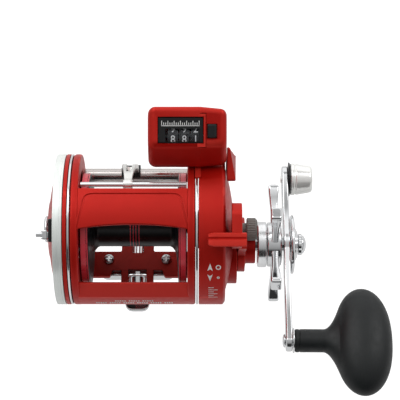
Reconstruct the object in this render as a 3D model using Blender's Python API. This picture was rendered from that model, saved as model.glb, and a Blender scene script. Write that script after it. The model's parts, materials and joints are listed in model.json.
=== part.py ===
"""Trolling reel with a line counter, modelled as separate pieces.

Frame: +X runs along the spool axis towards the handle, +Y towards the rod tip, +Z up. The origin lies on the
underside of the reel foot, straight below the spool axis. Dimensions are in millimetres; the mesh builders
multiply them by MM, because Blender's unit is the metre. Angles "around the reel" run from +Y towards +Z.
"""

import math

import bmesh
import bpy
from mathutils import Vector

MM = 0.001
GAP = 0.3

# Driving dimensions
SPOOL_Z = 42.0  # height of the spool axis over the foot's underside
MAIN_Z = SPOOL_Z - 16.0  # the handle's shaft sits straight below the spool axis
PLATE_R = 35.0
RING_INNER_X, RING_OUTER_X = 24.5, 28.0
RING_BORE_R = 27.0
SPOOL_R = 26.0
TRIM_X = (RING_OUTER_X + GAP, 29.3)
HOUSING_X = (TRIM_X[1] + GAP, 41.7)
HOUSING_WALL_R = 33.6
WORM = (29.9, SPOOL_Z - 2.2)
GUIDE_BAR = (8.3, SPOOL_Z + 28.3)
GUIDE_X = -2.5
KNOB_Y, COUNTERWEIGHT_Y = -49.5, 35.3
TILT = math.radians(28.0)  # lean of the counter's display and of the thumb pads, about X

SPOOL_AXIS = (0.0, SPOOL_Z)
MAIN_AXIS = (0.0, MAIN_Z)

MATERIALS = {
    "red_anodised": ((0.55, 0.02, 0.012), 0.32, 1.0),
    "red_rim": ((0.75, 0.04, 0.05), 0.25, 1.0),
    "chrome": ((0.85, 0.86, 0.86), 0.08, 1.0),
    "brushed_aluminium": ((0.72, 0.74, 0.73), 0.35, 1.0),
    "steel": ((0.55, 0.56, 0.57), 0.3, 1.0),
    "brass": ((0.7, 0.5, 0.2), 0.3, 1.0),
    "black_plastic": ((0.012, 0.012, 0.013), 0.5, 0.0),
    "black_rubber": ((0.016, 0.016, 0.016), 0.75, 0.0),
    "white_plastic": ((0.8, 0.8, 0.78), 0.4, 0.0),
    "clear_plastic": ((0.9, 0.93, 0.93), 0.05, 0.0),
    "grey_plastic": ((0.2, 0.2, 0.21), 0.45, 0.0),
}


def clear_scene():
    for obj in list(bpy.data.objects):
        bpy.data.objects.remove(obj, do_unlink=True)


def material(name):
    found = bpy.data.materials.get(name)
    if found:
        return found
    colour, roughness, metallic = MATERIALS[name]
    made = bpy.data.materials.new(name)
    made.use_nodes = True
    shader = made.node_tree.nodes["Principled BSDF"]
    shader.inputs["Base Color"].default_value = (*colour, 1.0)
    shader.inputs["Roughness"].default_value = roughness
    shader.inputs["Metallic"].default_value = metallic
    return made


# ---- points and outlines -------------------------------------------------------------------------


def around(radius, degrees, centre=SPOOL_AXIS):
    """The (y, z) point at this radius and angle around an axis along X."""
    angle = math.radians(degrees)
    return centre[0] + radius * math.cos(angle), centre[1] + radius * math.sin(angle)


def tilted(front, up, centre=SPOOL_AXIS):
    """The (y, z) point that lies this far along and above a deck leaning back by TILT."""
    return (
        centre[0] + front * math.cos(TILT) - up * math.sin(TILT),
        centre[1] + front * math.sin(TILT) + up * math.cos(TILT),
    )


def facets(radius):
    """How many flat sides stand for a circle of this radius."""
    return 40 if radius > 25.0 else 28 if radius > 9.0 else 20 if radius > 4.0 else 12


def circle(radius, centre):
    steps = facets(radius)
    return [around(radius, 360.0 * i / steps, centre) for i in range(steps)]


def arc(radius, start, end, steps, centre=SPOOL_AXIS):
    return [around(radius, start + (end - start) * i / steps, centre) for i in range(steps + 1)]


def rounded(corners, radius, steps=3):
    """The outline with each corner rounded by an arc that is tangent to both of its sides."""
    outline = []
    for i, corner in enumerate(corners):
        here = Vector(corner)
        before = (Vector(corners[i - 1]) - here).normalized()
        after = (Vector(corners[(i + 1) % len(corners)]) - here).normalized()
        half = before.angle(after) / 2
        reach = radius / math.tan(half)
        middle = here + (before + after).normalized() * (radius / math.sin(half))
        start, end = here + before * reach - middle, here + after * reach - middle
        for step in range(steps + 1):
            turn = start.normalized().slerp(end.normalized(), step / steps) * radius
            outline.append(tuple(middle + turn))
    return outline


def rectangle(centre, half_front, half_up, point=tilted):
    """Corner points of a rectangle in the leaning frame of `point`."""
    front, up = centre
    signs = ((-1, -1), (1, -1), (1, 1), (-1, 1))
    return [point(front + a * half_front, up + b * half_up) for a, b in signs]


# ---- mesh builders -------------------------------------------------------------------------------


def to_object(bm, name, finish, origin=(0.0, 0.0, 0.0), sharp=35.0):
    """Closes a mesh made in millimetres, scales it, and puts the object's origin at `origin`."""
    bmesh.ops.remove_doubles(bm, verts=bm.verts, dist=1e-4)
    bmesh.ops.recalc_face_normals(bm, faces=bm.faces)
    bmesh.ops.translate(bm, verts=bm.verts, vec=-Vector(origin))
    bmesh.ops.scale(bm, verts=bm.verts, vec=(MM, MM, MM))
    mesh = bpy.data.meshes.new(name)
    bm.to_mesh(mesh)
    bm.free()
    mesh.shade_smooth()
    mesh.set_sharp_from_angle(angle=math.radians(sharp))
    mesh.materials.append(material(finish))
    obj = bpy.data.objects.new(name, mesh)
    obj.location = Vector(origin) * MM
    bpy.context.scene.collection.objects.link(obj)
    return obj


def on_axis(centre):
    return (0.0, *centre)


def turned(name, profile, finish, centre=SPOOL_AXIS, along="X", origin=None):
    """A body of revolution. `profile` is a closed list of (distance along the axis, radius)."""
    bm = bmesh.new()
    base = Vector(on_axis(centre)) if along == "X" else Vector((*centre, 0.0))
    if along == "X":
        axis, out = Vector((1, 0, 0)), Vector((0, 1, 0))
    else:
        axis, out = Vector((0, 0, 1)), Vector((1, 0, 0))
    points = [bm.verts.new(base + axis * place + out * radius) for place, radius in profile]
    edges = [bm.edges.new((points[i - 1], points[i])) for i in range(len(points))]
    on_the_axis = [e for e in edges if all((v.co - base).cross(axis).length < 1e-6 for v in e.verts)]
    bmesh.ops.delete(bm, geom=on_the_axis, context="EDGES_FACES")
    bmesh.ops.spin(
        bm,
        geom=list(bm.verts) + list(bm.edges),
        cent=base,
        axis=axis,
        dvec=(0, 0, 0),
        angle=2 * math.pi,
        steps=facets(max(radius for _, radius in profile)),
        use_merge=True,
    )
    return to_object(bm, name, finish, origin or tuple(base))


def plane_axes(along):
    """Unit vectors of an outline's two directions and of the extrusion."""
    return {
        "X": (Vector((0, 1, 0)), Vector((0, 0, 1)), Vector((1, 0, 0))),
        "Z": (Vector((1, 0, 0)), Vector((0, 1, 0)), Vector((0, 0, 1))),
    }[along]


def slab(name, outline, span, finish, holes=(), along="X", origin=(0.0, 0.0, 0.0)):
    """A flat plate: an outline with holes, filled and extruded over `span` along an axis."""
    bm = bmesh.new()
    first, second, normal = plane_axes(along)
    for loop in (outline, *holes):
        points = [bm.verts.new(first * a + second * b + normal * span[0]) for a, b in loop]
        for i in range(len(points)):
            bm.edges.new((points[i - 1], points[i]))
    if holes:
        bmesh.ops.triangle_fill(bm, edges=list(bm.edges), use_beauty=True)
    else:
        bm.faces.new(list(bm.verts))
    made = bmesh.ops.extrude_face_region(bm, geom=list(bm.faces))
    lifted = [item for item in made["geom"] if isinstance(item, bmesh.types.BMVert)]
    bmesh.ops.translate(bm, verts=lifted, vec=normal * (span[1] - span[0]))
    return to_object(bm, name, finish, origin)


def bent_plate(name, rows, radii, finish, empty=(), origin=(0.0, 0.0, 0.0)):
    """A plate bent around the spool axis. Each row is a list of (x, degrees); `empty` holds the (row, column)
    cells left open."""
    bm = bmesh.new()
    outer = [[bm.verts.new((x, *around(radii[1], angle))) for x, angle in row] for row in rows]
    for i in range(len(rows) - 1):
        for j in range(len(rows[0]) - 1):
            if (i, j) not in empty:
                bm.faces.new((outer[i][j], outer[i][j + 1], outer[i + 1][j + 1], outer[i + 1][j]))
    made = bmesh.ops.extrude_face_region(bm, geom=list(bm.faces))
    for item in made["geom"]:
        if isinstance(item, bmesh.types.BMVert):
            item.co.y *= radii[0] / radii[1]
            item.co.z = SPOOL_Z + (item.co.z - SPOOL_Z) * radii[0] / radii[1]
    bmesh.ops.triangulate(bm, faces=bm.faces)
    return to_object(bm, name, finish, origin)


def lofted(name, stations, finish, centre, steps=32, origin=(0.0, 0.0, 0.0)):
    """A closed body of elliptical sections along X: each station is (x, half width along Y, half height)."""
    bm = bmesh.new()
    loops = []
    for x, half_y, half_z in stations:
        ring = [
            bm.verts.new(
                (
                    x,
                    centre[0] + half_y * math.cos(2 * math.pi * i / steps),
                    centre[1] + half_z * math.sin(2 * math.pi * i / steps),
                )
            )
            for i in range(steps)
        ]
        loops.append([bm.edges.new((ring[i - 1], ring[i])) for i in range(steps)])
        if x in (stations[0][0], stations[-1][0]):
            bm.faces.new(ring)
    for before, after in zip(loops, loops[1:]):
        bmesh.ops.bridge_loops(bm, edges=before + after)
    return to_object(bm, name, finish, origin)


def helper(obj):
    obj.hide_render = True
    obj.display_type = "WIRE"
    return obj


def combine(obj, other, operation):
    """Adds a Boolean whose second shape is a hidden helper."""
    modifier = obj.modifiers.new(other.name, "BOOLEAN")
    modifier.operation = operation
    modifier.solver = "EXACT"
    modifier.object = helper(other)


def join(obj, *others):
    for other in others:
        combine(obj, other, "UNION")


def cut(obj, *others):
    for other in others:
        combine(obj, other, "DIFFERENCE")


def ring_profile(start, end, inner, outer, edge=0.0):
    """Closed section of a plain ring, with its two outer edges chamfered."""
    return [
        (start, inner),
        (end, inner),
        (end, outer - edge),
        (end - edge, outer),
        (start + edge, outer),
        (start, outer - edge),
    ] if edge else [(start, inner), (end, inner), (end, outer), (start, outer)]


def cylinder(name, start, end, radius, finish, centre=SPOOL_AXIS, along="X", origin=None):
    profile = [(start, 0.0), (start, radius), (end, radius), (end, 0.0)]
    return turned(name, profile, finish, centre, along, origin)


def dome(apex, rim, radius, steps):
    """Points of a shallow spherical cap, from its rim to its apex on the axis."""
    rise = abs(apex - rim)
    sphere = (radius**2 + rise**2) / (2 * rise)
    side = math.copysign(1.0, apex - rim)
    points = []
    for i in range(steps + 1):
        r = radius * (1 - i / steps)
        points.append((apex - side * (sphere - math.sqrt(sphere**2 - r**2)), r))
    return points


def gear_outline(teeth, module, tooth_at, centre):
    """Outline of a spur gear with slightly slim, straight-sided teeth; one points at `tooth_at` degrees."""
    pitch_radius = module * teeth / 2
    step = 360.0 / teeth
    root, tip = pitch_radius - 1.1 * module, pitch_radius + 0.8 * module
    root_half, tip_half = 0.27 * step, 0.11 * step
    outline = []
    for i in range(teeth):
        middle = tooth_at + i * step
        for radius, offset in ((root, -root_half), (tip, -tip_half), (tip, tip_half), (root, root_half)):
            outline.append(around(radius, middle + offset, centre))
    return outline


def gear(name, teeth, module, tooth_at, span, bore, centre, finish="brass"):
    outline = gear_outline(teeth, module, tooth_at, centre)
    return slab(name, outline, span, finish, [circle(bore, centre)], origin=on_axis(centre))


# ---- frame, foot ---------------------------------------------------------------------------------

SEAT_Z = (SPOOL_Z - PLATE_R + 0.1, SPOOL_Z - 32.5)
SCREW_X = 13.8
FOOT_T = 2.2


def frame_ring(name, side):
    edge_in = RING_INNER_X
    profile = [
        (edge_in, RING_BORE_R + 0.6),
        (edge_in + 0.6, RING_BORE_R),
        (RING_OUTER_X, RING_BORE_R),
        (RING_OUTER_X, PLATE_R),
        (edge_in + 1.4, PLATE_R),
        (edge_in + 0.4, PLATE_R - 0.4),
        (edge_in, PLATE_R - 1.4),
    ]
    return turned(name, [(side * x, r) for x, r in profile], "red_anodised")


def hood():
    """The thumb rest across the top: its rear lip is arched, highest in the middle."""
    half, front, columns, rows_count = RING_INNER_X + 1.2, 85.0, 8, 5
    rows = []
    for i in range(rows_count + 1):
        row = []
        for j in range(columns + 1):
            x = half * (2 * j / columns - 1)
            rear = 113.6 + 3.7 * (x / half) ** 2
            row.append((x, front + (rear - front) * i / rows_count))
        rows.append(row)
    return bent_plate("hood_web", rows, (31.2, PLATE_R - 0.6), "red_anodised")


def hood_panel():
    """The raised panel pressed on the hood."""
    half = 22.5
    rows = [[(half * side, 90.0 + 21.0 * i / 4) for side in (-1, 1)] for i in range(5)]
    return bent_plate("hood_panel", rows, (33.4, PLATE_R - 0.05), "red_anodised")


def rear_bar():
    """The bar behind the spool: a ledge on top, a crease, then the round back down to its lower lip."""
    outer = arc(PLATE_R - 0.05, 178.0, 204.0, 6)
    inner = [around(31.2, 203.0), around(30.4, 190.0), around(30.6, 176.0)]
    inner += [around(31.4, 165.5), around(33.2, 165.0)]
    half = RING_INNER_X + 1.2
    return slab("rear_bar", outer + inner, (-half, half), "red_anodised")


def seat_plate():
    """The bottom plate: two ears for the foot screws, and a forked column that runs further both ways."""
    ear, inset, column = RING_INNER_X + 1.2, 12.0, 7.8
    right = [
        (4.4, -5.3),
        (4.4, -13.0),
        (column, -13.0),
        (column, -5.6),
        (inset, -5.6),
        (inset + 1.2, -8.9),
        (ear, -8.9),
        (ear, 4.5),
        (column, 4.5),
        (column, 14.0),
        (2.75, 14.0),
        (2.75, 3.8),
    ]
    outline = right + [(-x, y) for x, y in reversed(right)]
    return slab("seat_plate", outline, SEAT_Z, "red_anodised", along="Z")


def frame_body():
    body = frame_ring("frame_body", -1)
    join(body, frame_ring("right_ring", 1), hood(), hood_panel(), rear_bar(), seat_plate())
    cut(
        body,
        cylinder("worm_bore", -RING_OUTER_X + 1.4, RING_OUTER_X + 1, 2.1, "red_anodised", WORM),
        *(
            cylinder(f"foot_screw_bore_{i}", SEAT_Z[0] - 1, SEAT_Z[1] + 1, 1.8, "red_anodised", (x, 0.0), "Z")
            for i, x in enumerate((-SCREW_X, SCREW_X))
        ),
    )
    return body


def spine(name, half, rise, places):
    """A ridge along the foot, sloping down away from the centre block."""
    near, far = places
    low = FOOT_T - 0.4
    return slab(name, [(near, low), (near, rise), (far, low + 0.3), (far, low)], (-half, half), "chrome")


def reel_foot():
    front, rear, half = 34.0, -23.5, 7.5
    corners = [(-5.4, rear), (5.4, rear), (half, -8.0), (half, 18.0)]
    corners += [(5.0, front), (-5.0, front), (-half, 18.0), (-half, -8.0)]
    foot = slab("reel_foot", rounded(corners, 3.0), (0.0, FOOT_T), "chrome", along="Z")
    block = rectangle((0.0, -1.9), 17.4, 5.6, point=lambda x, y: (x, y))
    join(
        foot,
        slab("foot_block", rounded(block, 2.0), (FOOT_T - 0.3, SEAT_Z[0] - GAP), "chrome", along="Z"),
        spine("rear_spine", 4.0, SEAT_Z[0] + 0.6, (-5.8, -19.0)),
        spine("front_spine", 2.4, SEAT_Z[0] + 0.6, (4.4, 29.0)),
    )
    # The ridges go through the seat plate's slots, so they also fill the gap under it.
    cut(
        foot,
        *(
            cylinder(f"foot_thread_{i}", 3.0, SEAT_Z[0], 1.8, "chrome", (x, 0.0), "Z")
            for i, x in enumerate((-SCREW_X, SCREW_X))
        ),
    )
    return foot


def screw(name, centre, under_head, shank, head, along="Z", side=1.0, finish="steel"):
    """A dome-head screw: `shank` and `head` are (length, radius)."""
    low = under_head - side * shank[0]
    profile = [
        (low, 0.0),
        (low, shank[1]),
        (under_head, shank[1]),
        (under_head, head[1]),
        (under_head + side * head[0] * 0.45, head[1]),
        (under_head + side * head[0] * 0.85, head[1] * 0.7),
        (under_head + side * head[0], 0.0),
    ]
    return turned(name, profile, finish, centre, along)


def frame_and_foot():
    frame_body()
    reel_foot()
    for side, x in (("left", -SCREW_X), ("right", SCREW_X)):
        screw(f"foot_screw_{side}", (x, 0.0), SEAT_Z[1] + GAP, (4.0, 1.45), (1.7, 2.4))


# ---- left side -----------------------------------------------------------------------------------

LEFT_PLATE_X = (-31.3, -TRIM_X[1] - GAP)
SILVER_X = (-35.8, LEFT_PLATE_X[0] - GAP)
LEFT_DOME_APEX, COVER_T = -40.4, 1.6
TRIM_INNER_R = 32.6
BEARING = (2.3, 4.0)
BEARING_POCKET_R = BEARING[1] + GAP
CLICKER_R = 27.5
CLICKER_AT = 118.0  # on the side away from the rod tip, up
CLICKER_TRAVEL = 4.0
SCREW_CIRCLE_R = 24.0


def bearing_boss(side, wall):
    """Half of the section of a plate with a bearing pocket that opens towards the spool."""
    start, end = wall  # towards the spool, away from it
    tip = 25.2
    return [
        (side * end, BEARING[0] + 0.2),
        (side * end, 33.2),
        (side * start, 33.2),
        (side * start, 9.0),
        (side * tip, 6.6),
        (side * tip, BEARING_POCKET_R),
        (side * start, BEARING_POCKET_R),
        (side * start, BEARING[0] + 0.2),
    ]


def clicker_frame(name, half_out, half_along, span, finish, at=0.0, holes=(), origin=(0.0, 0.0, 0.0)):
    """A rounded block on the left cover, `half_along` in the clicker's sliding direction."""

    def point(out, along):
        out_y, out_z = around(CLICKER_R + out, CLICKER_AT, (0.0, 0.0))
        along_y, along_z = around(along, CLICKER_AT - 90.0, (0.0, 0.0))
        return out_y + along_y, SPOOL_Z + out_z + along_z

    def block(halves, middle, radius):
        return rounded(rectangle((0.0, middle), *halves, point=point), radius, 3)

    cutouts = [block(halves, middle, 0.4) for halves, middle in holes]
    return slab(name, block((half_out, half_along), at, 0.8), span, finish, cutouts, origin=origin)


def clicker():
    rest = -CLICKER_TRAVEL / 2
    clicker_frame("clicker_bezel", 3.4, 5.2, (-38.7, -35.3), "black_plastic", holes=[((1.2, 4.0), 0.0)])
    finish, origin = "brushed_aluminium", on_axis(around(CLICKER_R, CLICKER_AT))
    button = clicker_frame("clicker_button", 2.6, 2.2, (-41.4, -39.0), finish, rest, origin=origin)
    join(
        button,
        clicker_frame("button_ridge", 2.2, 0.9, (-43.6, -41.0), finish, rest, origin=origin),
        clicker_frame("button_stem", 0.85, 1.5, (-39.4, -33.6), finish, rest, origin=origin),
    )


def cover_screws(cover):
    """Two screws that share the left cover's bolt circle with the clicker, in flat recesses."""
    seat, shank_r, head = -37.2, 1.2, (0.8, 2.2)
    for name, turn in (("front", 240.0), ("rear", 120.0)):
        centre = around(SCREW_CIRCLE_R, CLICKER_AT + turn)
        screw(f"cover_screw_{name}", centre, seat - GAP, (LEFT_PLATE_X[0] - seat, shank_r), head, "X", -1.0)
        seat_cut = [
            (-45.0, 0.0),
            (-45.0, head[1] + GAP),
            (seat, head[1] + GAP),
            (seat, shank_r + GAP),
            (-33.5, shank_r + GAP),
            (-33.5, 0.0),
        ]
        cut(cover, turned(f"screw_seat_{name}", seat_cut, "red_anodised", centre))


def left_side():
    turned("left_trim_ring", ring_profile(-TRIM_X[1], -TRIM_X[0], TRIM_INNER_R, PLATE_R), "chrome")
    profile = bearing_boss(-1, (-LEFT_PLATE_X[1], -LEFT_PLATE_X[0]))
    profile[1] = (LEFT_PLATE_X[0], PLATE_R)
    profile[2] = (LEFT_PLATE_X[1], PLATE_R)
    turned("left_side_plate", profile, "red_anodised")
    turned("left_bearing", ring_profile(-29.2, -26.4, *BEARING), "steel")
    turned("left_silver_ring", ring_profile(*SILVER_X, 32.3, PLATE_R), "brushed_aluminium")
    outer = dome(LEFT_DOME_APEX, -35.5, 31.9, 5)
    inner = [(x + COVER_T, r * 0.945) for x, r in reversed(outer)]
    hub = 3.3
    profile = [(-33.0, 31.9), *outer[:-1], (outer[-1][0], hub)]
    profile += [(inner[0][0], hub), *inner[1:], (-33.0, inner[-1][1])]
    cover = turned("left_cover", profile, "red_anodised")
    cut(cover, clicker_frame("clicker_opening", 3.7, 5.5, (-42.0, -34.0), "red_anodised"))
    cover_screws(cover)
    clicker()
    cap = [(-37.6, 0.0), (-37.6, 2.9), (-40.8, 2.9), (-40.8, 6.2), (-41.6, 6.2), (-42.2, 5.2), (-42.4, 0.0)]
    turned("left_bearing_cap", cap, "chrome")
    click_teeth = gear_outline(18, 0.75, 0.0, SPOOL_AXIS)
    bore = circle(2.3, SPOOL_AXIS)
    slab("click_gear", click_teeth, (-34.4, -32.9), "steel", [bore], origin=on_axis(SPOOL_AXIS))


# ---- right side ----------------------------------------------------------------------------------

RIGHT_DOME_APEX, RIGHT_DOME_R = 46.0, 31.0
BOSS_A = (18.5, 47.5)  # radius, end along X
BOSS_B = (10.3, 51.6)
BOSS_C = (9.0, 56.3)
SHAFT_R = 3.0
SHAFT_BORE_R = SHAFT_R + GAP
CAP_STEM_R = 2.9
ONE_WAY = (46.4, 52.0, 6.5)  # start, end, radius
COUNTER_SPLIT_X = 30.0
COUNTER_WALL = 1.4
COUNTER_SECTION = [(28.5, 24.0), (28.5, 18.0), (55.3, 14.0), (55.3, 35.0), (37.7, 35.0)]
COUNTER_AXIS = (42.5, 26.0)  # in the leaning frame: along the deck, above it
WINDOW_X, FACE_X = (14.8, 29.9), (11.3, 31.8)


def inset(corners, distance):
    """The corners of a convex, anticlockwise outline moved inwards by `distance`."""
    moved = []
    for i, corner in enumerate(corners):
        here = Vector(corner)
        before = (here - Vector(corners[i - 1])).normalized()
        after = (Vector(corners[(i + 1) % len(corners)]) - here).normalized()
        normals = Vector((-before.y, before.x)) + Vector((-after.y, after.x))
        moved.append(tuple(here + normals * (distance / (1 + before.dot(after)))))
    return moved


def counter_outline(depth, radius):
    return rounded([tilted(*corner) for corner in inset(COUNTER_SECTION, depth)], radius, 3)


def deck_block(name, span, middle, halves, finish, radius=0.0, origin=(0.0, 0.0, 0.0)):
    """A block in the counter's leaning frame: `middle` and `halves` are (along the deck, above it)."""
    corners = rectangle(middle, *halves)
    return slab(name, rounded(corners, radius, 3) if radius else corners, span, finish, origin=origin)


def gear_plate():
    profile = bearing_boss(1, (HOUSING_X[0], HOUSING_X[0] + 1.4))
    plate = turned("gear_plate", profile, "steel")
    join(plate, cylinder("idler_stud", HOUSING_X[0] + 0.5, 33.6, 1.3, "steel", idler_centre()))
    cut(plate, cylinder("worm_clearance", 28.0, 33.0, 1.7, "steel", WORM))


def right_side_plate():
    start, end = HOUSING_X
    profile = [
        (start, HOUSING_WALL_R),
        (40.0, HOUSING_WALL_R),
        (40.0, RIGHT_DOME_R + GAP),
        (end, RIGHT_DOME_R + GAP),
        (end, PLATE_R - 0.7),
        (end - 0.7, PLATE_R),
        (start, PLATE_R),
    ]
    plate = turned("right_side_plate", profile, "red_anodised")
    block_x, pocket_x = (COUNTER_SPLIT_X + GAP, 42.2), (COUNTER_SPLIT_X - 1, 32.0)
    join(plate, slab("counter_block", counter_outline(0.0, 1.6), block_x, "red_anodised"))
    centre = tilted(*COUNTER_AXIS)
    cut(
        plate,
        slab("counter_pocket", counter_outline(COUNTER_WALL, 0.8), pocket_x, "red_anodised"),
        deck_block("tongue_notch", (COUNTER_SPLIT_X - 1, 33.0), (44.6, 34.65), (7.7, 1.35), "red_anodised"),
        deck_block("reset_recess", (33.2, 37.9), (44.3, 33.8), (3.3, 2.2), "red_anodised", 0.6),
        cylinder("counter_gear_pocket", 31.0, 36.4, 4.7, "red_anodised", centre),
    )


def right_cover():
    outer = dome(RIGHT_DOME_APEX, 41.07, RIGHT_DOME_R, 5)
    cover = turned("right_cover", [(38.5, 0.0), (38.5, RIGHT_DOME_R), *outer], "red_anodised")
    bosses = [
        (42.0, 0.0),
        (42.0, BOSS_A[0]),
        (BOSS_A[1] - 0.5, BOSS_A[0]),
        (BOSS_A[1], BOSS_A[0] - 0.5),
        (BOSS_A[1], BOSS_B[0]),
        (BOSS_B[1], BOSS_B[0]),
        (BOSS_B[1], BOSS_C[0]),
        (BOSS_C[1], BOSS_C[0]),
        (BOSS_C[1], 0.0),
    ]
    join(cover, turned("shaft_bosses", bosses, "red_anodised", MAIN_AXIS))
    hollow = [(x - COVER_T, r * 0.945) for x, r in outer]
    pocket_end = ONE_WAY[1] + GAP
    bore = [
        (40.0, 0.0),
        (40.0, ONE_WAY[2] + GAP),
        (pocket_end, ONE_WAY[2] + GAP),
        (pocket_end, SHAFT_BORE_R),
        (58.0, SHAFT_BORE_R),
        (58.0, 0.0),
    ]
    cut(
        cover,
        turned("cover_hollow", [(37.5, 0.0), (37.5, hollow[0][1]), *hollow], "red_anodised"),
        turned("shaft_bore", bore, "red_anodised", MAIN_AXIS),
        cylinder("cap_stem_bore", 40.0, 49.0, CAP_STEM_R + GAP, "red_anodised", SPOOL_AXIS),
    )


def clutch_lever():
    """A ring on the shaft boss, an arm past the tension cap, a step inboard and a thumb pad over the rim."""
    origin = on_axis(MAIN_AXIS)
    ring_x = (47.8, 51.3)
    ring_hole = circle(BOSS_B[0] + GAP, MAIN_AXIS)
    lever = slab("clutch_lever", circle(12.9, MAIN_AXIS), ring_x, "red_anodised", [ring_hole], origin=origin)
    arm = [(-1.0, 24.0), (-8.5, 24.0), (-10.6, 3.5), (-13.4, -5.0)]
    arm += [(-9.5, -2.6), (-4.2, -3.0), (-3.7, 3.5), (-1.6, 8.0)]
    plate = [(-8.5, 20.5), (-1.0, 20.5), (2.0, 24.0), (12.3, 27.5)]
    plate += [(12.3, 33.0), (8.5, 38.0), (-1.0, 39.2), (-7.0, 38.9)]
    pad = [(-7.0, 37.3), (-0.8, 37.3), (-0.8, 39.7), (-7.0, 40.5)]
    for name, outline, span, radius in (
        ("lever_arm", arm, ring_x, 0.5),
        ("lever_plate", plate, (44.4, 49.0), 1.0),
        ("lever_pad", pad, (33.7, 51.0), 0.5),
    ):
        corners = rounded([tilted(*corner) for corner in outline], radius, 2)
        join(lever, slab(name, corners, span, "red_anodised", origin=origin))
    return lever


def tension_cap():
    profile = [(44.0, 0.0), (44.0, CAP_STEM_R), (51.9, CAP_STEM_R), (51.9, 5.0)]
    profile += [(52.2, 5.3), (56.3, 5.3), (56.9, 4.7), (56.9, 0.0)]
    turned("spool_tension_cap", profile, "grey_plastic")


def right_side():
    turned("right_trim_ring", ring_profile(*TRIM_X, TRIM_INNER_R, PLATE_R), "chrome")
    turned("right_bearing", ring_profile(26.4, 29.2, *BEARING), "steel")
    gear_plate()
    right_side_plate()
    right_cover()
    clutch_lever()
    tension_cap()
    turned("one_way_clutch", ring_profile(*ONE_WAY[:2], SHAFT_BORE_R, ONE_WAY[2]), "steel", MAIN_AXIS)


# ---- gear train ----------------------------------------------------------------------------------

PINION_TEETH, MAIN_TEETH = 10, 38
SPOOL_GEAR_TEETH, IDLER_TEETH, WORM_TEETH = 12, 49, 11
DRIVE_MODULE = 2 * (SPOOL_Z - MAIN_Z) / (PINION_TEETH + MAIN_TEETH)
WIND_MODULE = 0.5
WIND_GEARS_X = (31.4, 33.0)


def idler_centre():
    """Where the idler meshes with both the spool's gear and the worm shaft's gear."""
    first = WIND_MODULE * (SPOOL_GEAR_TEETH + IDLER_TEETH) / 2
    second = WIND_MODULE * (IDLER_TEETH + WORM_TEETH) / 2
    span = Vector(WORM) - Vector(SPOOL_AXIS)
    along = (first**2 - second**2 + span.length**2) / (2 * span.length)
    off = math.sqrt(first**2 - along**2)
    direction = span.normalized()
    return tuple(Vector(SPOOL_AXIS) + direction * along + Vector((-direction.y, direction.x)) * off)


def direction_of(start, end):
    return math.degrees(math.atan2(end[1] - start[1], end[0] - start[0]))


def tooth_facing_gap(driver_teeth, driver_tooth, towards, teeth):
    """Where a driven gear's tooth points so that a gap takes the driver's nearest tooth."""
    step = 360.0 / driver_teeth
    offset = (driver_tooth - towards + step / 2) % step - step / 2
    return towards + 180.0 - offset * driver_teeth / teeth + 180.0 / teeth


def gear_train():
    shaft = [(31.4, 0.0), (31.4, SHAFT_R), (76.2, SHAFT_R), (76.2, 0.0)]
    turned("main_shaft", shaft, "steel", MAIN_AXIS)
    gear("main_gear", MAIN_TEETH, DRIVE_MODULE, 90.0, (35.0, 37.5), SHAFT_BORE_R, MAIN_AXIS)
    turned("drag_disc", ring_profile(37.8, 38.5, SHAFT_BORE_R, 10.0), "black_rubber", MAIN_AXIS)
    turned("pressure_plate", ring_profile(38.8, 39.8, SHAFT_BORE_R, 9.6), "steel", MAIN_AXIS)
    pinion_tooth = tooth_facing_gap(MAIN_TEETH, 90.0, 90.0, PINION_TEETH)
    pinion = gear("pinion_gear", PINION_TEETH, DRIVE_MODULE, pinion_tooth, (34.2, 39.0), 1.8, SPOOL_AXIS)
    collar = [(38.6, 1.9), (41.4, 1.9), (41.4, 3.4), (40.8, 3.4), (40.8, 2.2), (38.6, 2.2)]
    join(pinion, turned("pinion_collar", collar, "brass", SPOOL_AXIS))
    fork = [(-9.0, -5.0), (9.0, -5.0), (9.0, 4.5), (2.6, 4.5)]
    fork += [(2.6, -2.7), (-2.6, -2.7), (-2.6, 4.5), (-9.0, 4.5)]
    outline = [(y, SPOOL_Z + z) for y, z in fork]
    slab("clutch_yoke", outline, (39.4, 40.4), "steel", origin=on_axis(SPOOL_AXIS))

    idler, towards_idler = idler_centre(), direction_of(SPOOL_AXIS, idler_centre())
    gear("spool_gear", SPOOL_GEAR_TEETH, WIND_MODULE, towards_idler, WIND_GEARS_X, 1.8, SPOOL_AXIS)
    idler_tooth = tooth_facing_gap(SPOOL_GEAR_TEETH, towards_idler, towards_idler, IDLER_TEETH)
    gear("idler_gear", IDLER_TEETH, WIND_MODULE, idler_tooth, WIND_GEARS_X, 1.6, idler)
    worm_tooth = tooth_facing_gap(IDLER_TEETH, idler_tooth, direction_of(idler, WORM), WORM_TEETH)
    gear("worm_gear", WORM_TEETH, WIND_MODULE, worm_tooth, WIND_GEARS_X, 1.5, WORM)


# ---- star drag and handle ------------------------------------------------------------------------

STAR_X, ARM_X = (62.9, 67.9), (69.7, 72.7)
STAR_R, STAR_ARMS, STAR_AT = 29.5, 5, 14.0
KNOB_HOLE_R = 2.3


def star_outline():
    """Five arms that narrow to a waist, swell to a thumb pad and end in a blunt tip."""
    half = [(9.4, 4.6), (14.0, 3.5), (19.0, 3.0), (23.5, 3.5), (27.0, 3.3), (28.9, 2.0), (STAR_R, 0.0)]
    outline = []
    for i in range(STAR_ARMS):
        middle = STAR_AT + i * 360.0 / STAR_ARMS
        for out, across in [(r, -w) for r, w in half] + [(r, w) for r, w in reversed(half[:-1])]:
            turn = math.degrees(math.atan2(across, out))
            outline.append(around(math.hypot(out, across), middle + turn, MAIN_AXIS))
    return outline


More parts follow.
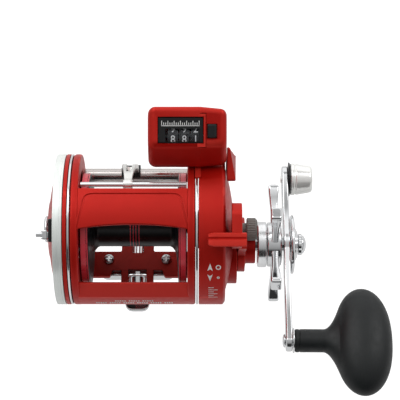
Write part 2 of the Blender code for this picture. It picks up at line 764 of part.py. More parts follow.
def handle_outline():
    """The flat arm: knob end, waist, shaft eye, waist, counterweight end."""
    upper = [
        *arc(5.0, 180.0, 100.0, 5, (KNOB_Y, 0.0)),
        (-36.0, 4.0),
        (-16.0, 5.2),
        *arc(9.0, 125.0, 55.0, 6, (0.0, 0.0)),
        (17.0, 5.4),
        *arc(6.4, 105.0, 0.0, 7, (COUNTERWEIGHT_Y, 0.0)),
    ]
    lower = [(y, -z) for y, z in reversed(upper[1:-1])]
    return [(y, MAIN_Z + z) for y, z in upper + lower]


def knob():
    """A stem that flares into an egg standing across the shaft's direction."""
    stem, neck = 5.35, 87.5
    middle, half = (105.4, 13.4), (26.4, 11.6)
    stations = [(73.9, stem, stem), (neck, stem, stem), (90.0, 6.0, 5.8)]
    for i in range(1, 11):
        angle = math.pi * (1 - (i + 0.6) / 10.6)
        x = middle[0] + middle[1] * math.cos(angle)
        width = math.sin(angle) ** 0.85
        stations.append((x, max(half[0] * width, 1.5), max(half[1] * width, 1.0)))
    centre = (KNOB_Y - 0.5, MAIN_Z)
    body = lofted("knob", stations, "black_rubber", centre, 28, on_axis((KNOB_Y, MAIN_Z)))
    cut(body, cylinder("knob_bore", 70.0, 84.0, KNOB_HOLE_R, "black_rubber", (KNOB_Y, MAIN_Z)))


def handle():
    hub = ring_profile(BOSS_C[1] + 0.9, 61.6, SHAFT_BORE_R, 10.9)
    turned("drag_hub", hub, "brushed_aluminium", MAIN_AXIS)
    origin = on_axis(MAIN_AXIS)
    bore = circle(SHAFT_BORE_R, MAIN_AXIS)
    star = slab("star_drag", star_outline(), STAR_X, "chrome", [bore], origin=origin)
    join(star, turned("star_hub", ring_profile(61.9, 68.7, SHAFT_BORE_R + 0.1, 10.6), "chrome", MAIN_AXIS))

    holes = [bore, circle(KNOB_HOLE_R, (KNOB_Y, MAIN_Z)), circle(2.1, (COUNTERWEIGHT_Y, MAIN_Z))]
    slab("handle_arm", handle_outline(), ARM_X, "chrome", holes, origin=origin)
    bell = [(73.0, SHAFT_BORE_R), (73.0, 13.2), (73.5, 14.0), (74.4, 14.0)]
    bell += [(75.0, 9.5), (76.4, 5.6), (76.4, SHAFT_BORE_R)]
    turned("handle_washer", bell, "chrome", MAIN_AXIS)
    nut = [(76.7, 0.0), (76.7, 5.4), (78.6, 5.4), (79.8, 4.3), (80.5, 2.2), (80.6, 0.0)]
    turned("handle_nut", nut, "chrome", MAIN_AXIS)

    weight_at = (COUNTERWEIGHT_Y, MAIN_Z)
    weight = [(69.2, 0.0), (69.2, 1.8), (73.9, 1.8), (73.9, 7.4)]
    weight += [(74.4, 7.8), (83.6, 6.4), (84.5, 5.4), (84.5, 0.0)]
    turned("counterweight", weight, "chrome", weight_at)
    turned("counterweight_washer", ring_profile(73.0, 73.6, 2.1, 8.2), "black_plastic", weight_at)

    knob()
    knob_at = (KNOB_Y, MAIN_Z)
    rivet = [(68.3, 0.0), (68.3, 2.4), (68.8, 3.2), (69.4, 3.2), (69.4, 2.0), (83.0, 2.0), (83.0, 0.0)]
    turned("knob_shaft", rivet, "steel", knob_at)
    turned("knob_washer", ring_profile(73.0, 73.6, KNOB_HOLE_R, 5.8), "chrome", knob_at)


# ---- level wind ----------------------------------------------------------------------------------


def line_guide():
    """A slotted yoke bent round the spool, from the carriage up to an eye on the guide bar."""
    angles = [6.7, 12.0, 19.3, 26.6, 34.0, 41.3, 48.6, 56.0, 63.0, 70.0]
    rows = []
    for angle in angles:
        taper = max(0.0, (angle - 20.0) / 50.0)
        half = 3.8 - 2.15 * taper
        slot = min(1.4, 0.6 * half)
        rows.append([(GUIDE_X + offset, angle) for offset in (-half, -slot, slot, half)])
    empty = {(i, 1) for i, angle in enumerate(angles) if 12.0 <= angle < 56.0}
    origin = (GUIDE_X, *WORM)
    guide = bent_plate("line_guide", rows, (28.4, 30.4), "brushed_aluminium", empty, origin)
    eye = ring_profile(GUIDE_X - 1.65, GUIDE_X + 1.65, 1.55, 2.7)
    join(guide, turned("guide_eye", eye, "brushed_aluminium", GUIDE_BAR, origin=origin))


def level_wind():
    half = RING_INNER_X - GAP
    tube = turned("levelwind_tube", ring_profile(-half, half, 2.35, 3.25), "chrome", WORM)
    slot = rectangle((WORM[0], WORM[1] - 3.0), 1.2, 1.6, point=lambda y, z: (y, z))
    cut(tube, slab("tube_slot", slot, (-20.5, 20.5), "chrome"))
    step_x = TRIM_X[1] - GAP
    worm = [(-26.2, 0.0), (-26.2, 1.7), (step_x, 1.7), (step_x, 1.2), (34.2, 1.2), (34.2, 0.0)]
    turned("worm_shaft", worm, "steel", WORM)
    cylinder("guide_bar", -half, half, 1.2, "chrome", GUIDE_BAR)
    carriage_x = (GUIDE_X - 4.45, GUIDE_X + 4.45)
    collar, origin = ring_profile(*carriage_x, 3.55, 5.0), (GUIDE_X, *WORM)
    carriage = turned("carriage", collar, "black_plastic", WORM, origin=origin)
    # The collar is open towards the spool, so that it passes the spool's flanges.
    start, end = carriage_x[0] - 1, carriage_x[1] + 1
    cut(carriage, cylinder("flange_clearance", start, end, SPOOL_R + 1.0, "black_plastic"))
    screw("pawl_cap", (GUIDE_X, WORM[0]), WORM[1] - 5.3, (0.0, 1.0), (1.5, 2.1), side=-1.0, finish="brass")
    line_guide()


# ---- spool ---------------------------------------------------------------------------------------


def spool():
    end, inner, rim = 22.2, 20.2, SPOOL_R
    half = [(end, 3.2), (end, rim - 0.4), (end - 0.4, rim), (inner + 0.4, rim), (inner, rim - 0.6)]
    half += [(inner - 0.5, 12.5), (16.4, 8.0)]
    profile = [(-x, r) for x, r in half] + [(x, r) for x, r in reversed(half)]
    profile = [(-end, 2.3), *profile[1:-1], (end, 2.3)]
    turned("spool", profile, "black_plastic")
    shaft = [(-35.4, 0.0), (-35.4, 2.0), (30.0, 2.0), (30.0, 1.5), (43.5, 1.5), (43.5, 0.0)]
    turned("spool_shaft", shaft, "steel")


# ---- line counter --------------------------------------------------------------------------------

WHEEL_X, WHEEL_HALF, WHEEL_R = (18.1, 23.2, 28.25), 2.3, 7.5
FACE_U = (38.8, 50.7)  # along the deck


def counter():
    centre = tilted(*COUNTER_AXIS)
    left_x = 6.8
    cover = slab("counter_cover", counter_outline(0.0, 1.6), (left_x, COUNTER_SPLIT_X), "red_anodised")
    cut(
        cover,
        slab("cover_inside", counter_outline(COUNTER_WALL, 0.8), (left_x + 1.6, 31.0), "red_anodised"),
        cylinder("frame_clearance", left_x - 1, 31.0, PLATE_R + GAP, "red_anodised"),
    )
    join(cover, deck_block("cover_tongue", (29.2, 32.7), (44.6, 34.3), (7.4, 0.68), "red_anodised"))
    face_mid, face_half = sum(FACE_U) / 2, (FACE_U[1] - FACE_U[0]) / 2
    cut(cover, deck_block("face_opening", FACE_X, (face_mid, 34.5), (face_half, 1.8), "red_anodised"))

    face_x = (FACE_X[0] + GAP, FACE_X[1] - GAP)
    face = deck_block("counter_face", face_x, (face_mid, 34.1), (face_half - GAP, 0.3), "black_plastic")
    window_u = (42.5, 2.9)
    cut(face, deck_block("digit_opening", WINDOW_X, (window_u[0], 34.1), (window_u[1], 2.0), "black_plastic"))
    window_x = (WINDOW_X[0] + GAP, WINDOW_X[1] - GAP)
    deck_block("counter_window", window_x, (window_u[0], 34.1), (window_u[1] - GAP, 0.27), "clear_plastic")

    for name, x in zip(("hundreds", "tens", "units"), WHEEL_X):
        profile = ring_profile(x - WHEEL_HALF, x + WHEEL_HALF, 1.4, WHEEL_R)
        turned(f"digit_wheel_{name}", profile, "black_plastic", centre)
    cylinder("counter_shaft", 8.9, 35.8, 1.0, "steel", centre)
    gear("counter_gear", 16, 0.45, 90.0, (32.9, 35.6), 1.3, centre)
    middle = (44.3, 34.5)
    origin = on_axis(tilted(*middle))
    deck_block("reset_button", (33.6, 37.5), middle, (2.95, 1.75), "black_plastic", 0.7, origin)

    lean = math.degrees(TILT)
    outline = [tilted(22.2, 22.0), tilted(37.6, 22.0), tilted(37.6, 14.0)][::-1]
    outline += arc(27.6, lean + 36.0, lean - 36.0, 10) + arc(35.4, lean - 36.0, lean + 18.0, 8)
    cover_x = (42.5, 46.4)
    gear_cover = slab("counter_gear_cover", outline, cover_x, "red_anodised")
    inner = arc(29.0, lean + 34.0, lean - 34.0, 10) + arc(34.0, lean - 34.0, lean + 34.0, 10)
    cut(gear_cover, slab("gear_cover_inside", inner, (cover_x[0] - 1, 45.0), "red_anodised"))


clear_scene()
frame_and_foot()
left_side()
right_side()
gear_train()
handle()
level_wind()
spool()
counter()
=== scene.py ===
"""Trolling reel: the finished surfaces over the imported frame. Lengths here are millimetres, scaled by MM."""

import json
import math

import bmesh
import bpy
from mathutils import Matrix, Vector

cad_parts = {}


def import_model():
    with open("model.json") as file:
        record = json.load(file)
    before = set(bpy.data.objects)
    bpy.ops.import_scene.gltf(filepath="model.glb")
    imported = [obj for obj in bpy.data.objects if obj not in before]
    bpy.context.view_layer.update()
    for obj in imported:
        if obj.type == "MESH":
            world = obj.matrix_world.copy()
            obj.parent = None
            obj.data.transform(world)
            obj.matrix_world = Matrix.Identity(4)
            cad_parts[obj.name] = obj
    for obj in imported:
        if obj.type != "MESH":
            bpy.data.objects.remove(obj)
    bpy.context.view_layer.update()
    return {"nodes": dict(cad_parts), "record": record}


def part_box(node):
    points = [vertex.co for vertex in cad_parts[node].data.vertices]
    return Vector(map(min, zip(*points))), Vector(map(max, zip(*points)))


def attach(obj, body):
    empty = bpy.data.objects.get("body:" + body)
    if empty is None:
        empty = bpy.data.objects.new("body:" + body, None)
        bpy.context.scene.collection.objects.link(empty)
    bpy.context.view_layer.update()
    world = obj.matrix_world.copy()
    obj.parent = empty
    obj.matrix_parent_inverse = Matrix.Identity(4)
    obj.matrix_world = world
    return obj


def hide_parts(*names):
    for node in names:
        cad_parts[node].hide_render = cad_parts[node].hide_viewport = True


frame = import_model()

MM = 0.001
TILT = math.radians(28.0)
SPOOL_AXIS = (0.0, 42.0)
MAIN_AXIS = (0.0, 26.0)
WORM = (29.9, 39.8)
GUIDE_BAR = (8.3, 70.3)
PLATE_R = 35.0
GUIDE_X = -2.5


# ---- points and outlines ----


def around(radius, degrees, centre=SPOOL_AXIS):
    """The (y, z) point at this radius and angle around an axis along X, from +Y towards +Z."""
    angle = math.radians(degrees)
    return centre[0] + radius * math.cos(angle), centre[1] + radius * math.sin(angle)


def tilted(front, up, centre=SPOOL_AXIS):
    """The (y, z) point this far along and above the counter's leaning deck."""
    return (
        centre[0] + front * math.cos(TILT) - up * math.sin(TILT),
        centre[1] + front * math.sin(TILT) + up * math.cos(TILT),
    )


def soft(corners, radius, steps=4, open_ends=False):
    """The closed outline with its corners rounded. Nearly straight corners, and the two ends of an open
    outline, stay sharp.
    """
    outline = []
    count = len(corners)
    for i, corner in enumerate(corners):
        here = Vector(corner)
        before, after = Vector(corners[i - 1]) - here, Vector(corners[(i + 1) % count]) - here
        end = open_ends and i in (0, count - 1)
        if end or before.length < 1e-6 or after.length < 1e-6 or before.angle(after) > math.radians(168):
            outline.append(tuple(here))
            continue
        reach = min(radius, 0.45 * before.length, 0.45 * after.length)
        start, stop = here + before.normalized() * reach, here + after.normalized() * reach
        for step in range(steps + 1):
            t = step / steps
            outline.append(tuple(start * (1 - t) ** 2 + here * 2 * t * (1 - t) + stop * t**2))
    return outline


def arc(radius, start, end, steps, centre=SPOOL_AXIS):
    return [around(radius, start + (end - start) * i / steps, centre) for i in range(steps + 1)]


def rectangle(start, end, low, high):
    return [(start, low), (end, low), (end, high), (start, high)]


def rod(start, end, radius):
    """The profile of a plain round rod."""
    return [(start, 0.0), (start, radius), (end, radius), (end, 0.0)]


def corners_of(middle, halves):
    """The corners of a rectangle round its middle."""
    signs = ((-1, -1), (1, -1), (1, 1), (-1, 1))
    return [(middle[0] + a * halves[0], middle[1] + b * halves[1]) for a, b in signs]


def dome(apex, rim, radius, steps):
    """Points of a shallow spherical cap, from its rim to its apex on the axis."""
    rise = abs(apex - rim)
    sphere = (radius**2 + rise**2) / (2 * rise)
    side = math.copysign(1.0, apex - rim)
    radii = [radius * (1 - i / steps) for i in range(steps + 1)]
    return [(apex - side * (sphere - math.sqrt(sphere**2 - r**2)), r) for r in radii]


# ---- mesh builders ----


AXES = {
    "X": (Vector((0, 1, 0)), Vector((0, 0, 1)), Vector((1, 0, 0))),
    "Z": (Vector((1, 0, 0)), Vector((0, 1, 0)), Vector((0, 0, 1))),
}


def to_object(bm, name, finish, sharp=38.0):
    bmesh.ops.remove_doubles(bm, verts=bm.verts, dist=1e-4)
    bmesh.ops.recalc_face_normals(bm, faces=bm.faces)
    bmesh.ops.scale(bm, verts=bm.verts, vec=(MM, MM, MM))
    mesh = bpy.data.meshes.new(name)
    bm.to_mesh(mesh)
    bm.free()
    mesh.shade_smooth()
    mesh.set_sharp_from_angle(angle=math.radians(sharp))
    mesh.materials.append(finish)
    obj = bpy.data.objects.new(name, mesh)
    bpy.context.scene.collection.objects.link(obj)
    return obj


def lathe(name, profile, finish, centre=SPOOL_AXIS, steps=112, along="X"):
    """A turned body. `profile` is a closed list of (distance along the axis, radius)."""
    bm = bmesh.new()
    out, _, axis = AXES[along]
    base = Vector((0.0, *centre)) if along == "X" else Vector((*centre, 0.0))
    points = [bm.verts.new(base + axis * place + out * max(radius, 0.0)) for place, radius in profile]
    edges = [bm.edges.new((points[i - 1], points[i])) for i in range(len(points))]
    flat = [e for e in edges if all((v.co - base).cross(axis).length < 1e-6 for v in e.verts)]
    bmesh.ops.delete(bm, geom=flat, context="EDGES_FACES")
    geom = list(bm.verts) + list(bm.edges)
    turn = {"angle": 2 * math.pi, "steps": steps, "use_merge": True}
    bmesh.ops.spin(bm, geom=geom, cent=base, axis=axis, dvec=(0, 0, 0), **turn)
    return to_object(bm, name, finish)


def filled(loops):
    """A flat face inside the first loop of points, with the other loops as holes."""
    bm = bmesh.new()
    for loop in loops:
        points = [bm.verts.new(point) for point in loop]
        for i in range(len(points)):
            bm.edges.new((points[i - 1], points[i]))
    if len(loops) > 1:
        bmesh.ops.triangle_fill(bm, edges=list(bm.edges), use_beauty=True)
    else:
        bm.faces.new(list(bm.verts))
    return bm


def sliced(bm, places):
    """Splits flat faces along lines of constant y, so that they can be bent."""
    for place in places:
        geom = list(bm.verts) + list(bm.edges) + list(bm.faces)
        bmesh.ops.bisect_plane(bm, geom=geom, plane_co=(0.0, place, 0.0), plane_no=(0, 1, 0), dist=1e-5)


def lift(bm):
    """Extrudes every face and returns the new points."""
    made = bmesh.ops.extrude_face_region(bm, geom=list(bm.faces))
    return [item for item in made["geom"] if isinstance(item, bmesh.types.BMVert)]


def slab(name, outline, ends, finish, holes=(), along="X", bevel=0.0, segments=3):
    """A plate: an outline with holes, extruded between `ends`, its edges rounded by `bevel`."""
    first, second, normal = AXES[along]
    loops = (outline, *holes)
    bm = filled([[first * a + second * b + normal * ends[0] for a, b in loop] for loop in loops])
    bmesh.ops.translate(bm, verts=lift(bm), vec=normal * (ends[1] - ends[0]))
    obj = to_object(bm, name, finish)
    if bevel:
        round_edges(obj, bevel, segments)
    return obj


def round_edges(obj, width, segments=3, angle=35.0):
    bevel = obj.modifiers.new("round_edges", "BEVEL")
    bevel.width = width * MM
    bevel.segments = segments
    bevel.limit_method = "ANGLE"
    bevel.angle_limit = math.radians(angle)
    bevel.harden_normals = False


def shade(obj):
    """Applies the modifiers and marks the edges that stay sharp."""
    graph = bpy.context.evaluated_depsgraph_get()
    mesh = bpy.data.meshes.new_from_object(obj.evaluated_get(graph))
    obj.modifiers.clear()
    obj.data = mesh
    mesh.shade_smooth()
    mesh.set_sharp_from_angle(angle=math.radians(30.0))


def combine(obj, others, operation):
    """Booleans the others into or out of obj, applies it and removes them."""
    for other in others:
        modifier = obj.modifiers.new(other.name, "BOOLEAN")
        modifier.operation = operation
        modifier.solver = "EXACT"
        modifier.object = other
    shade(obj)
    for other in others:
        bpy.data.objects.remove(other, do_unlink=True)
    return obj


def cut(obj, *others):
    return combine(obj, others, "DIFFERENCE")


def fuse(obj, *others):
    return combine(obj, others, "UNION")


def gather(obj, *others):
    """One object of several closed shells."""
    for part in (obj, *others):
        if part.modifiers:
            shade(part)
    bm = bmesh.new()
    for part in (obj, *others):
        slots = len(bm.faces)
        bm.from_mesh(part.data)
        bm.faces.ensure_lookup_table()
        for face in bm.faces[slots:]:
            face.material_index = 0
    bm.to_mesh(obj.data)
    bm.free()
    for part in others:
        bpy.data.objects.remove(part, do_unlink=True)
    return obj


# ---- materials ----


def new_node(tree, kind, inputs=(), **settings):
    """A node with its properties set and its inputs given values or linked to sockets."""
    made = tree.nodes.new(kind)
    for key, value in settings.items():
        setattr(made, key, value)
    for key, value in dict(inputs).items():
        if isinstance(value, bpy.types.NodeSocket):
            tree.links.new(value, made.inputs[key])
        else:
            made.inputs[key].default_value = value
    return made


def math_node(tree, operation, first, second=0.0):
    return new_node(tree, "ShaderNodeMath", {0: first, 1: second}, operation=operation).outputs[0]


class Finish:
    """Builds one procedural Principled material. Coordinates are the object's own, in metres."""

    def __init__(self, name, colour, roughness, metallic=0.0, **sockets):
        self.made = bpy.data.materials.new(name)
        self.made.use_nodes = True
        self.tree = self.made.node_tree
        self.shader = self.tree.nodes["Principled BSDF"]
        self.shader.inputs["Base Color"].default_value = (*colour, 1.0)
        self.shader.inputs["Roughness"].default_value = roughness
        self.shader.inputs["Metallic"].default_value = metallic
        for socket, value in sockets.items():
            self.shader.inputs[socket.replace("_", " ")].default_value = value
        self.where = self.node("ShaderNodeTexCoord").outputs["Object"]

    def node(self, kind, inputs=(), **settings):
        return new_node(self.tree, kind, inputs, **settings)

    def noise(self, scale, detail=3.0, roughness=0.55, vector=None):
        inputs = {"Scale": scale, "Detail": detail, "Roughness": roughness, "Vector": vector or self.where}
        return self.node("ShaderNodeTexNoise", inputs).outputs["Fac"]

    def spread(self, value, low, high, start=0.3, end=0.7):
        """Maps start..end of a value onto low..high."""
        ranges = {"From Min": start, "From Max": end, "To Min": low, "To Max": high}
        return self.node("ShaderNodeMapRange", {"Value": value, **ranges}).outputs["Result"]

    def mix(self, factor, first, second):
        """Mixes two colours, each a socket or three numbers."""
        made = self.node("ShaderNodeMix", {0: factor}, data_type="RGBA")
        for socket, value in ((6, first), (7, second)):
            if isinstance(value, bpy.types.NodeSocket):
                self.tree.links.new(value, made.inputs[socket])
            else:
                made.inputs[socket].default_value = (*value, 1.0)
        return made.outputs[2]

    def rings(self, centre, scale_round, scale_out):
        """Coordinates for marks that run round an axis along X: (cosine of the angle, radius, x), scaled."""
        centre = (0.0, centre[0] * MM, centre[1] * MM)
        moved = self.node("ShaderNodeVectorMath", {0: self.where, 1: centre}, operation="SUBTRACT")
        x, y, z = self.node("ShaderNodeSeparateXYZ", {0: moved.outputs[0]}).outputs
        squares = [math_node(self.tree, "POWER", side, 2.0) for side in (y, z)]
        radius = math_node(self.tree, "SQRT", math_node(self.tree, "ADD", *squares))
        cosine = math_node(self.tree, "COSINE", math_node(self.tree, "ARCTAN2", z, y))
        scaled = ((cosine, scale_round), (radius, scale_out), (x, scale_out))
        parts = [math_node(self.tree, "MULTIPLY", value, scale) for value, scale in scaled]
        return self.node("ShaderNodeCombineXYZ", dict(enumerate(parts))).outputs[0]

    def colour(self, socket):
        self.tree.links.new(socket, self.shader.inputs["Base Color"])

    def roughness(self, socket):
        self.tree.links.new(socket, self.shader.inputs["Roughness"])

    def bump(self, height, strength, distance):
        inputs = {"Height": height, "Strength": strength, "Distance": distance * MM}
        made = self.node("ShaderNodeBump", inputs)
        self.tree.links.new(made.outputs["Normal"], self.shader.inputs["Normal"])
        return self

    def worn_edges(self):
        """1 along convex edges, from the surface's own curvature."""
        pointed = self.node("ShaderNodeNewGeometry").outputs["Pointiness"]
        return self.spread(pointed, 0.0, 1.0, 0.505, 0.56)


def red_paint(name, tone=(0.46, 0.0075, 0.004), dark=(0.385, 0.006, 0.003), roughness=0.38):
    """Satin red anodising over fine-blasted aluminium, brighter where edges are rubbed."""
    made = Finish(name, tone, roughness, 0.4, Specular_IOR_Level=0.16, Coat_Weight=0.03, Coat_Roughness=0.2)
    cloud = made.noise(55.0, 4.0)
    grain = made.noise(5200.0, 2.0)
    base = made.mix(made.spread(cloud, 0.0, 1.0), dark, tone)
    made.colour(made.mix(made.worn_edges(), base, (0.6, 0.03, 0.02)))
    made.roughness(made.spread(made.noise(420.0, 3.0), roughness - 0.05, roughness + 0.07))
    return made.bump(grain, 0.12, 0.02).made


def polished(name, tone=(0.80, 0.81, 0.82), roughness=0.07, metallic=1.0):
    """Bright chrome with faint hazy patches and hairline wipe marks."""
    made = Finish(name, tone, roughness, metallic)
    stretched = made.node("ShaderNodeMapping", {"Vector": made.where, "Scale": (1.0, 0.06, 1.0)}).outputs[0]
    hair = made.noise(2600.0, 2.0, vector=stretched)
    made.roughness(made.spread(made.noise(130.0, 4.0), roughness * 0.7, roughness * 1.9))
    made.colour(made.mix(made.spread(made.noise(60.0), 0.0, 1.0), tuple(0.93 * c for c in tone), tone))
    return made.bump(hair, 0.05, 0.01).made


def brushed(name, centre, tone, roughness, metallic=1.0):
    """Lathe-turned aluminium: fine circular lines about an axis along X."""
    made = Finish(name, tone, roughness, metallic, Anisotropic=0.4)
    lines = made.noise(1.0, 4.0, 0.7, made.rings(centre, 2.0, 9000.0))
    bands = made.noise(1.0, 2.0, 0.5, made.rings(centre, 4.0, 900.0))
    made.colour(made.mix(made.spread(bands, 0.0, 1.0), tuple(0.9 * c for c in tone), tone))
    made.roughness(made.spread(lines, roughness - 0.08, roughness + 0.14))
    return made.bump(lines, 0.22, 0.03).made


def moulded(name, tone, roughness, grain, **sockets):
    """Moulded plastic or rubber with a fine spark-eroded grain."""
    made = Finish(name, tone, roughness, 0.0, **sockets)
    fine = made.noise(2400.0)
    lighter = tuple(min(1.0, 1.5 * c + 0.002) for c in tone)
    made.colour(made.mix(made.spread(made.noise(90.0, 4.0), 0.0, 0.55), tone, lighter))
    made.roughness(made.spread(made.noise(300.0, 3.0), roughness - 0.06, roughness + 0.08))
    return made.bump(fine, grain, 0.04).made


def machined(name, tone, roughness):
    made = Finish(name, tone, roughness, 1.0)
    made.colour(made.mix(made.spread(made.noise(150.0, 4.0), 0.0, 1.0), tuple(0.8 * c for c in tone), tone))
    made.roughness(made.spread(made.noise(900.0, 3.0), roughness - 0.07, roughness + 0.12))
    return made.bump(made.noise(3000.0, 2.0), 0.12, 0.02).made


def clear_plastic(name):
    """A thin clear pane with faint hazing."""
    made = Finish(name, (0.97, 0.98, 1.0), 0.04, 0.0, Transmission_Weight=1.0, IOR=1.2)
    made.roughness(made.spread(made.noise(200.0, 3.0), 0.02, 0.08))
    return made.bump(made.noise(900.0), 0.02, 0.01).made


RED = red_paint("red_satin")
# The seat's red, darkened far below the casting's own: painted shade for where it sits under the spool and
# hood.
RED_PAINTED_SHADE = red_paint("red_painted_shade", (0.036, 0.0008, 0.0005), (0.03, 0.0006, 0.0004), 0.5)
# Red lifted to pink: the spool's red rims and lines, with a painted highlight mixed into their colour.
RED_WITH_PAINTED_HIGHLIGHT = moulded("red_with_painted_highlight", (0.86, 0.07, 0.10), 0.3, 0.05)
CHROME = polished("polished_chrome")
SPUN = brushed("spun_aluminium", SPOOL_AXIS, (0.92, 0.96, 0.93), 0.3, 0.4)
BRIGHT = polished("bright_weight", (1.0, 1.0, 0.97), 0.12, 0.5)
NICKEL = polished("nickel_tube", (0.58, 0.54, 0.52), 0.2)
GUIDE_METAL = machined("guide_metal", (0.93, 0.93, 0.9), 0.3)
SPUN_MAIN = brushed("spun_hub", MAIN_AXIS, (0.88, 0.89, 0.9), 0.16)
SATIN_METAL = machined("satin_aluminium", (0.72, 0.73, 0.72), 0.32)
STEEL = machined("machined_steel", (0.56, 0.57, 0.58), 0.28)
BRASS = machined("machined_brass", (0.72, 0.53, 0.24), 0.26)
BLACK = moulded("black_plastic", (0.003, 0.003, 0.0035), 0.32, 0.12, Specular_IOR_Level=0.36)
RUBBER = moulded("knob_rubber", (0.004, 0.0055, 0.006), 0.46, 0.3, Specular_IOR_Level=0.36)
GREY = moulded("grey_plastic", (0.17, 0.165, 0.15), 0.42, 0.2)
WHITE_MARK = moulded("white_marks", (0.8, 0.8, 0.78), 0.5, 0.1)
WHEEL_BLACK = moulded("wheel_black", (0.02, 0.02, 0.022), 0.42, 0.08)
DIGIT_WHITE = moulded("digit_white", (0.85, 0.85, 0.83), 0.45, 0.05)

CLEAR = clear_plastic("clear_window")

NODE_FINISH = {
    RED: "frame_body left_side_plate left_cover right_side_plate right_cover clutch_lever"
    " counter_cover counter_gear_cover",
    CHROME: "reel_foot left_trim_ring right_trim_ring left_bearing_cap star_drag handle_arm handle_washer"
    " handle_nut counterweight knob_washer levelwind_tube guide_bar",
    SPUN: "left_silver_ring",
    SPUN_MAIN: "drag_hub",
    SATIN_METAL: "clicker_button line_guide reset_button",
    STEEL: "foot_screw_left foot_screw_right left_bearing right_bearing gear_plate main_shaft pressure_plate"
    " one_way_clutch clutch_yoke knob_shaft worm_shaft spool_shaft click_gear counter_shaft",
    BRASS: "main_gear pinion_gear spool_gear idler_gear worm_gear counter_gear pawl_cap",
    BLACK: "clicker_bezel counterweight_washer carriage spool counter_face digit_wheel_units digit_wheel_tens"
    " digit_wheel_hundreds drag_disc counter_window",
    RUBBER: "knob",
    GREY: "spool_tension_cap",
}


def finish_cad_nodes():
    for finish, names in NODE_FINISH.items():
        for name in names.split():
            slots = frame["nodes"][name].data.materials
            slots.clear()
            slots.append(finish)


finish_cad_nodes()

BODY_OF = {node: body for body, nodes in frame["record"]["behaviour"]["bodies"].items() for node in nodes}


def span(node):
    """The node's lowest and highest x, in millimetres."""
    low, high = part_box(node)
    return low[0] / MM, high[0] / MM


def even_shading(obj):
    """Keeps large flat faces flat beside their rounded edges."""
    if obj.modifiers:
        shade(obj)
    weighted = obj.modifiers.new("even_shading", "WEIGHTED_NORMAL")
    weighted.keep_sharp = True


def finished(obj, *nodes):
    """The piece stands for these CAD nodes and moves with their body."""
    even_shading(obj)
    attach(obj, BODY_OF[nodes[0]])
    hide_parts(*nodes)
    return obj


def added(obj, node):
    """The piece is a detail that moves with this CAD node's body."""
    even_shading(obj)
    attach(obj, BODY_OF[node])
    return obj


def wrapped(name, outline, radii, finish, holes=(), step=3.0, bevel=0.0, segments=3):
    """A plate bent round the spool's axis. The outline's points are (x, degrees)."""
    bm = filled([[(x, degrees, 0.0) for x, degrees in loop] for loop in (outline, *holes)])
    low, high = min(d for _, d in outline), max(d for _, d in outline)
    cuts = int((high - low) / step)
    sliced(bm, [low + (high - low) * i / (cuts + 1) for i in range(1, cuts + 1)])
    lifted = set(lift(bm))
    for vert in bm.verts:
        vert.co = (vert.co.x, *around(radii[vert in lifted], vert.co.y))
    obj = to_object(bm, name, finish)
    if bevel:
        round_edges(obj, bevel, segments)
    return obj


PLATE_ARC = math.radians(PLATE_R)  # millimetres along the plates' rim for each degree


def ribbon(path, width):
    """The outline of a band of this width along a path of (x, degrees) on the plates' rim."""
    sides = ([], [])
    flat = [Vector((x, degrees * PLATE_ARC)) for x, degrees in path]
    for i, here in enumerate(flat):
        ahead = (flat[min(i + 1, len(flat) - 1)] - flat[max(i - 1, 0)]).normalized()
        across = Vector((-ahead.y, ahead.x)) * width / 2
        for side, place in zip(sides, (here + across, here - across)):
            side.append((place.x, place.y / PLATE_ARC))
    return sides[0] + sides[1][::-1]


def lofted(name, loops, finish, sharp=38.0):
    """A closed skin through loops of equally many points, capped at both ends."""
    bm = bmesh.new()
    rings = [[bm.verts.new(point) for point in loop] for loop in loops]
    for before, after in zip(rings, rings[1:]):
        for i in range(len(before)):
            bm.faces.new((before[i - 1], before[i], after[i], after[i - 1]))
    bm.faces.new(rings[0])
    bm.faces.new(rings[-1][::-1])
    return to_object(bm, name, finish, sharp)


def inset(corners, distance):
    """The corners of a convex, anticlockwise outline moved inwards by `distance`."""
    moved = []
    for i, corner in enumerate(corners):
        here = Vector(corner)
        before = (here - Vector(corners[i - 1])).normalized()
        after = (Vector(corners[(i + 1) % len(corners)]) - here).normalized()
        normals = Vector((-before.y, before.x)) + Vector((-after.y, after.x))
        moved.append(tuple(here + normals * (distance / (1 + before.dot(after)))))
    return moved


def pillow(name, corners, corner_radius, ends, radii, finish, draft=0.0):
    """A prism along X with rounded edges; `radii` are those of its two ends, `draft` how much it narrows."""
    stations = []
    for end, radius, side in ((ends[0], radii[0], 1), (ends[1], radii[1], -1)):
        turns = [math.radians(15.0 * i) for i in range(7)]
        found = [(end + side * radius * (1 - math.cos(t)), radius * (1 - math.sin(t))) for t in turns]
        found = [(x, deep + draft * (x - ends[0]) / (ends[1] - ends[0])) for x, deep in found]
        stations += found if side > 0 else found[::-1]
    loops = [[(x, y, z) for y, z in soft(inset(corners, deep), corner_radius, 5)] for x, deep in stations]
    return lofted(name, loops, finish, 50.0)


def deck_plate(name, ends, along, above, finish, radius, bevel):
    """A plate in the counter's leaning frame: its ranges of x, along the deck and above it."""
    middle, half = (sum(ends) / 2, sum(along) / 2), ((ends[1] - ends[0]) / 2, (along[1] - along[0]) / 2)
    outline = soft(corners_of(middle, half), radius, 4)
    loops = []
    for up, deep in ((above[0], 0.0), (above[1] - bevel, 0.0), (above[1], bevel)):
        keep = [1 - deep / side for side in half]
        shrunk = [
            (middle[0] + (x - middle[0]) * keep[0], middle[1] + (f - middle[1]) * keep[1])
            for x, f in outline
        ]
        loops.append([(x, *tilted(f, up)) for x, f in shrunk])
    return lofted(name, loops, finish)


# ---- frame and foot ----

SEAT_Z = (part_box("frame_body")[0][2] / MM + 0.1, 9.5)
FOOT_T = 2.2


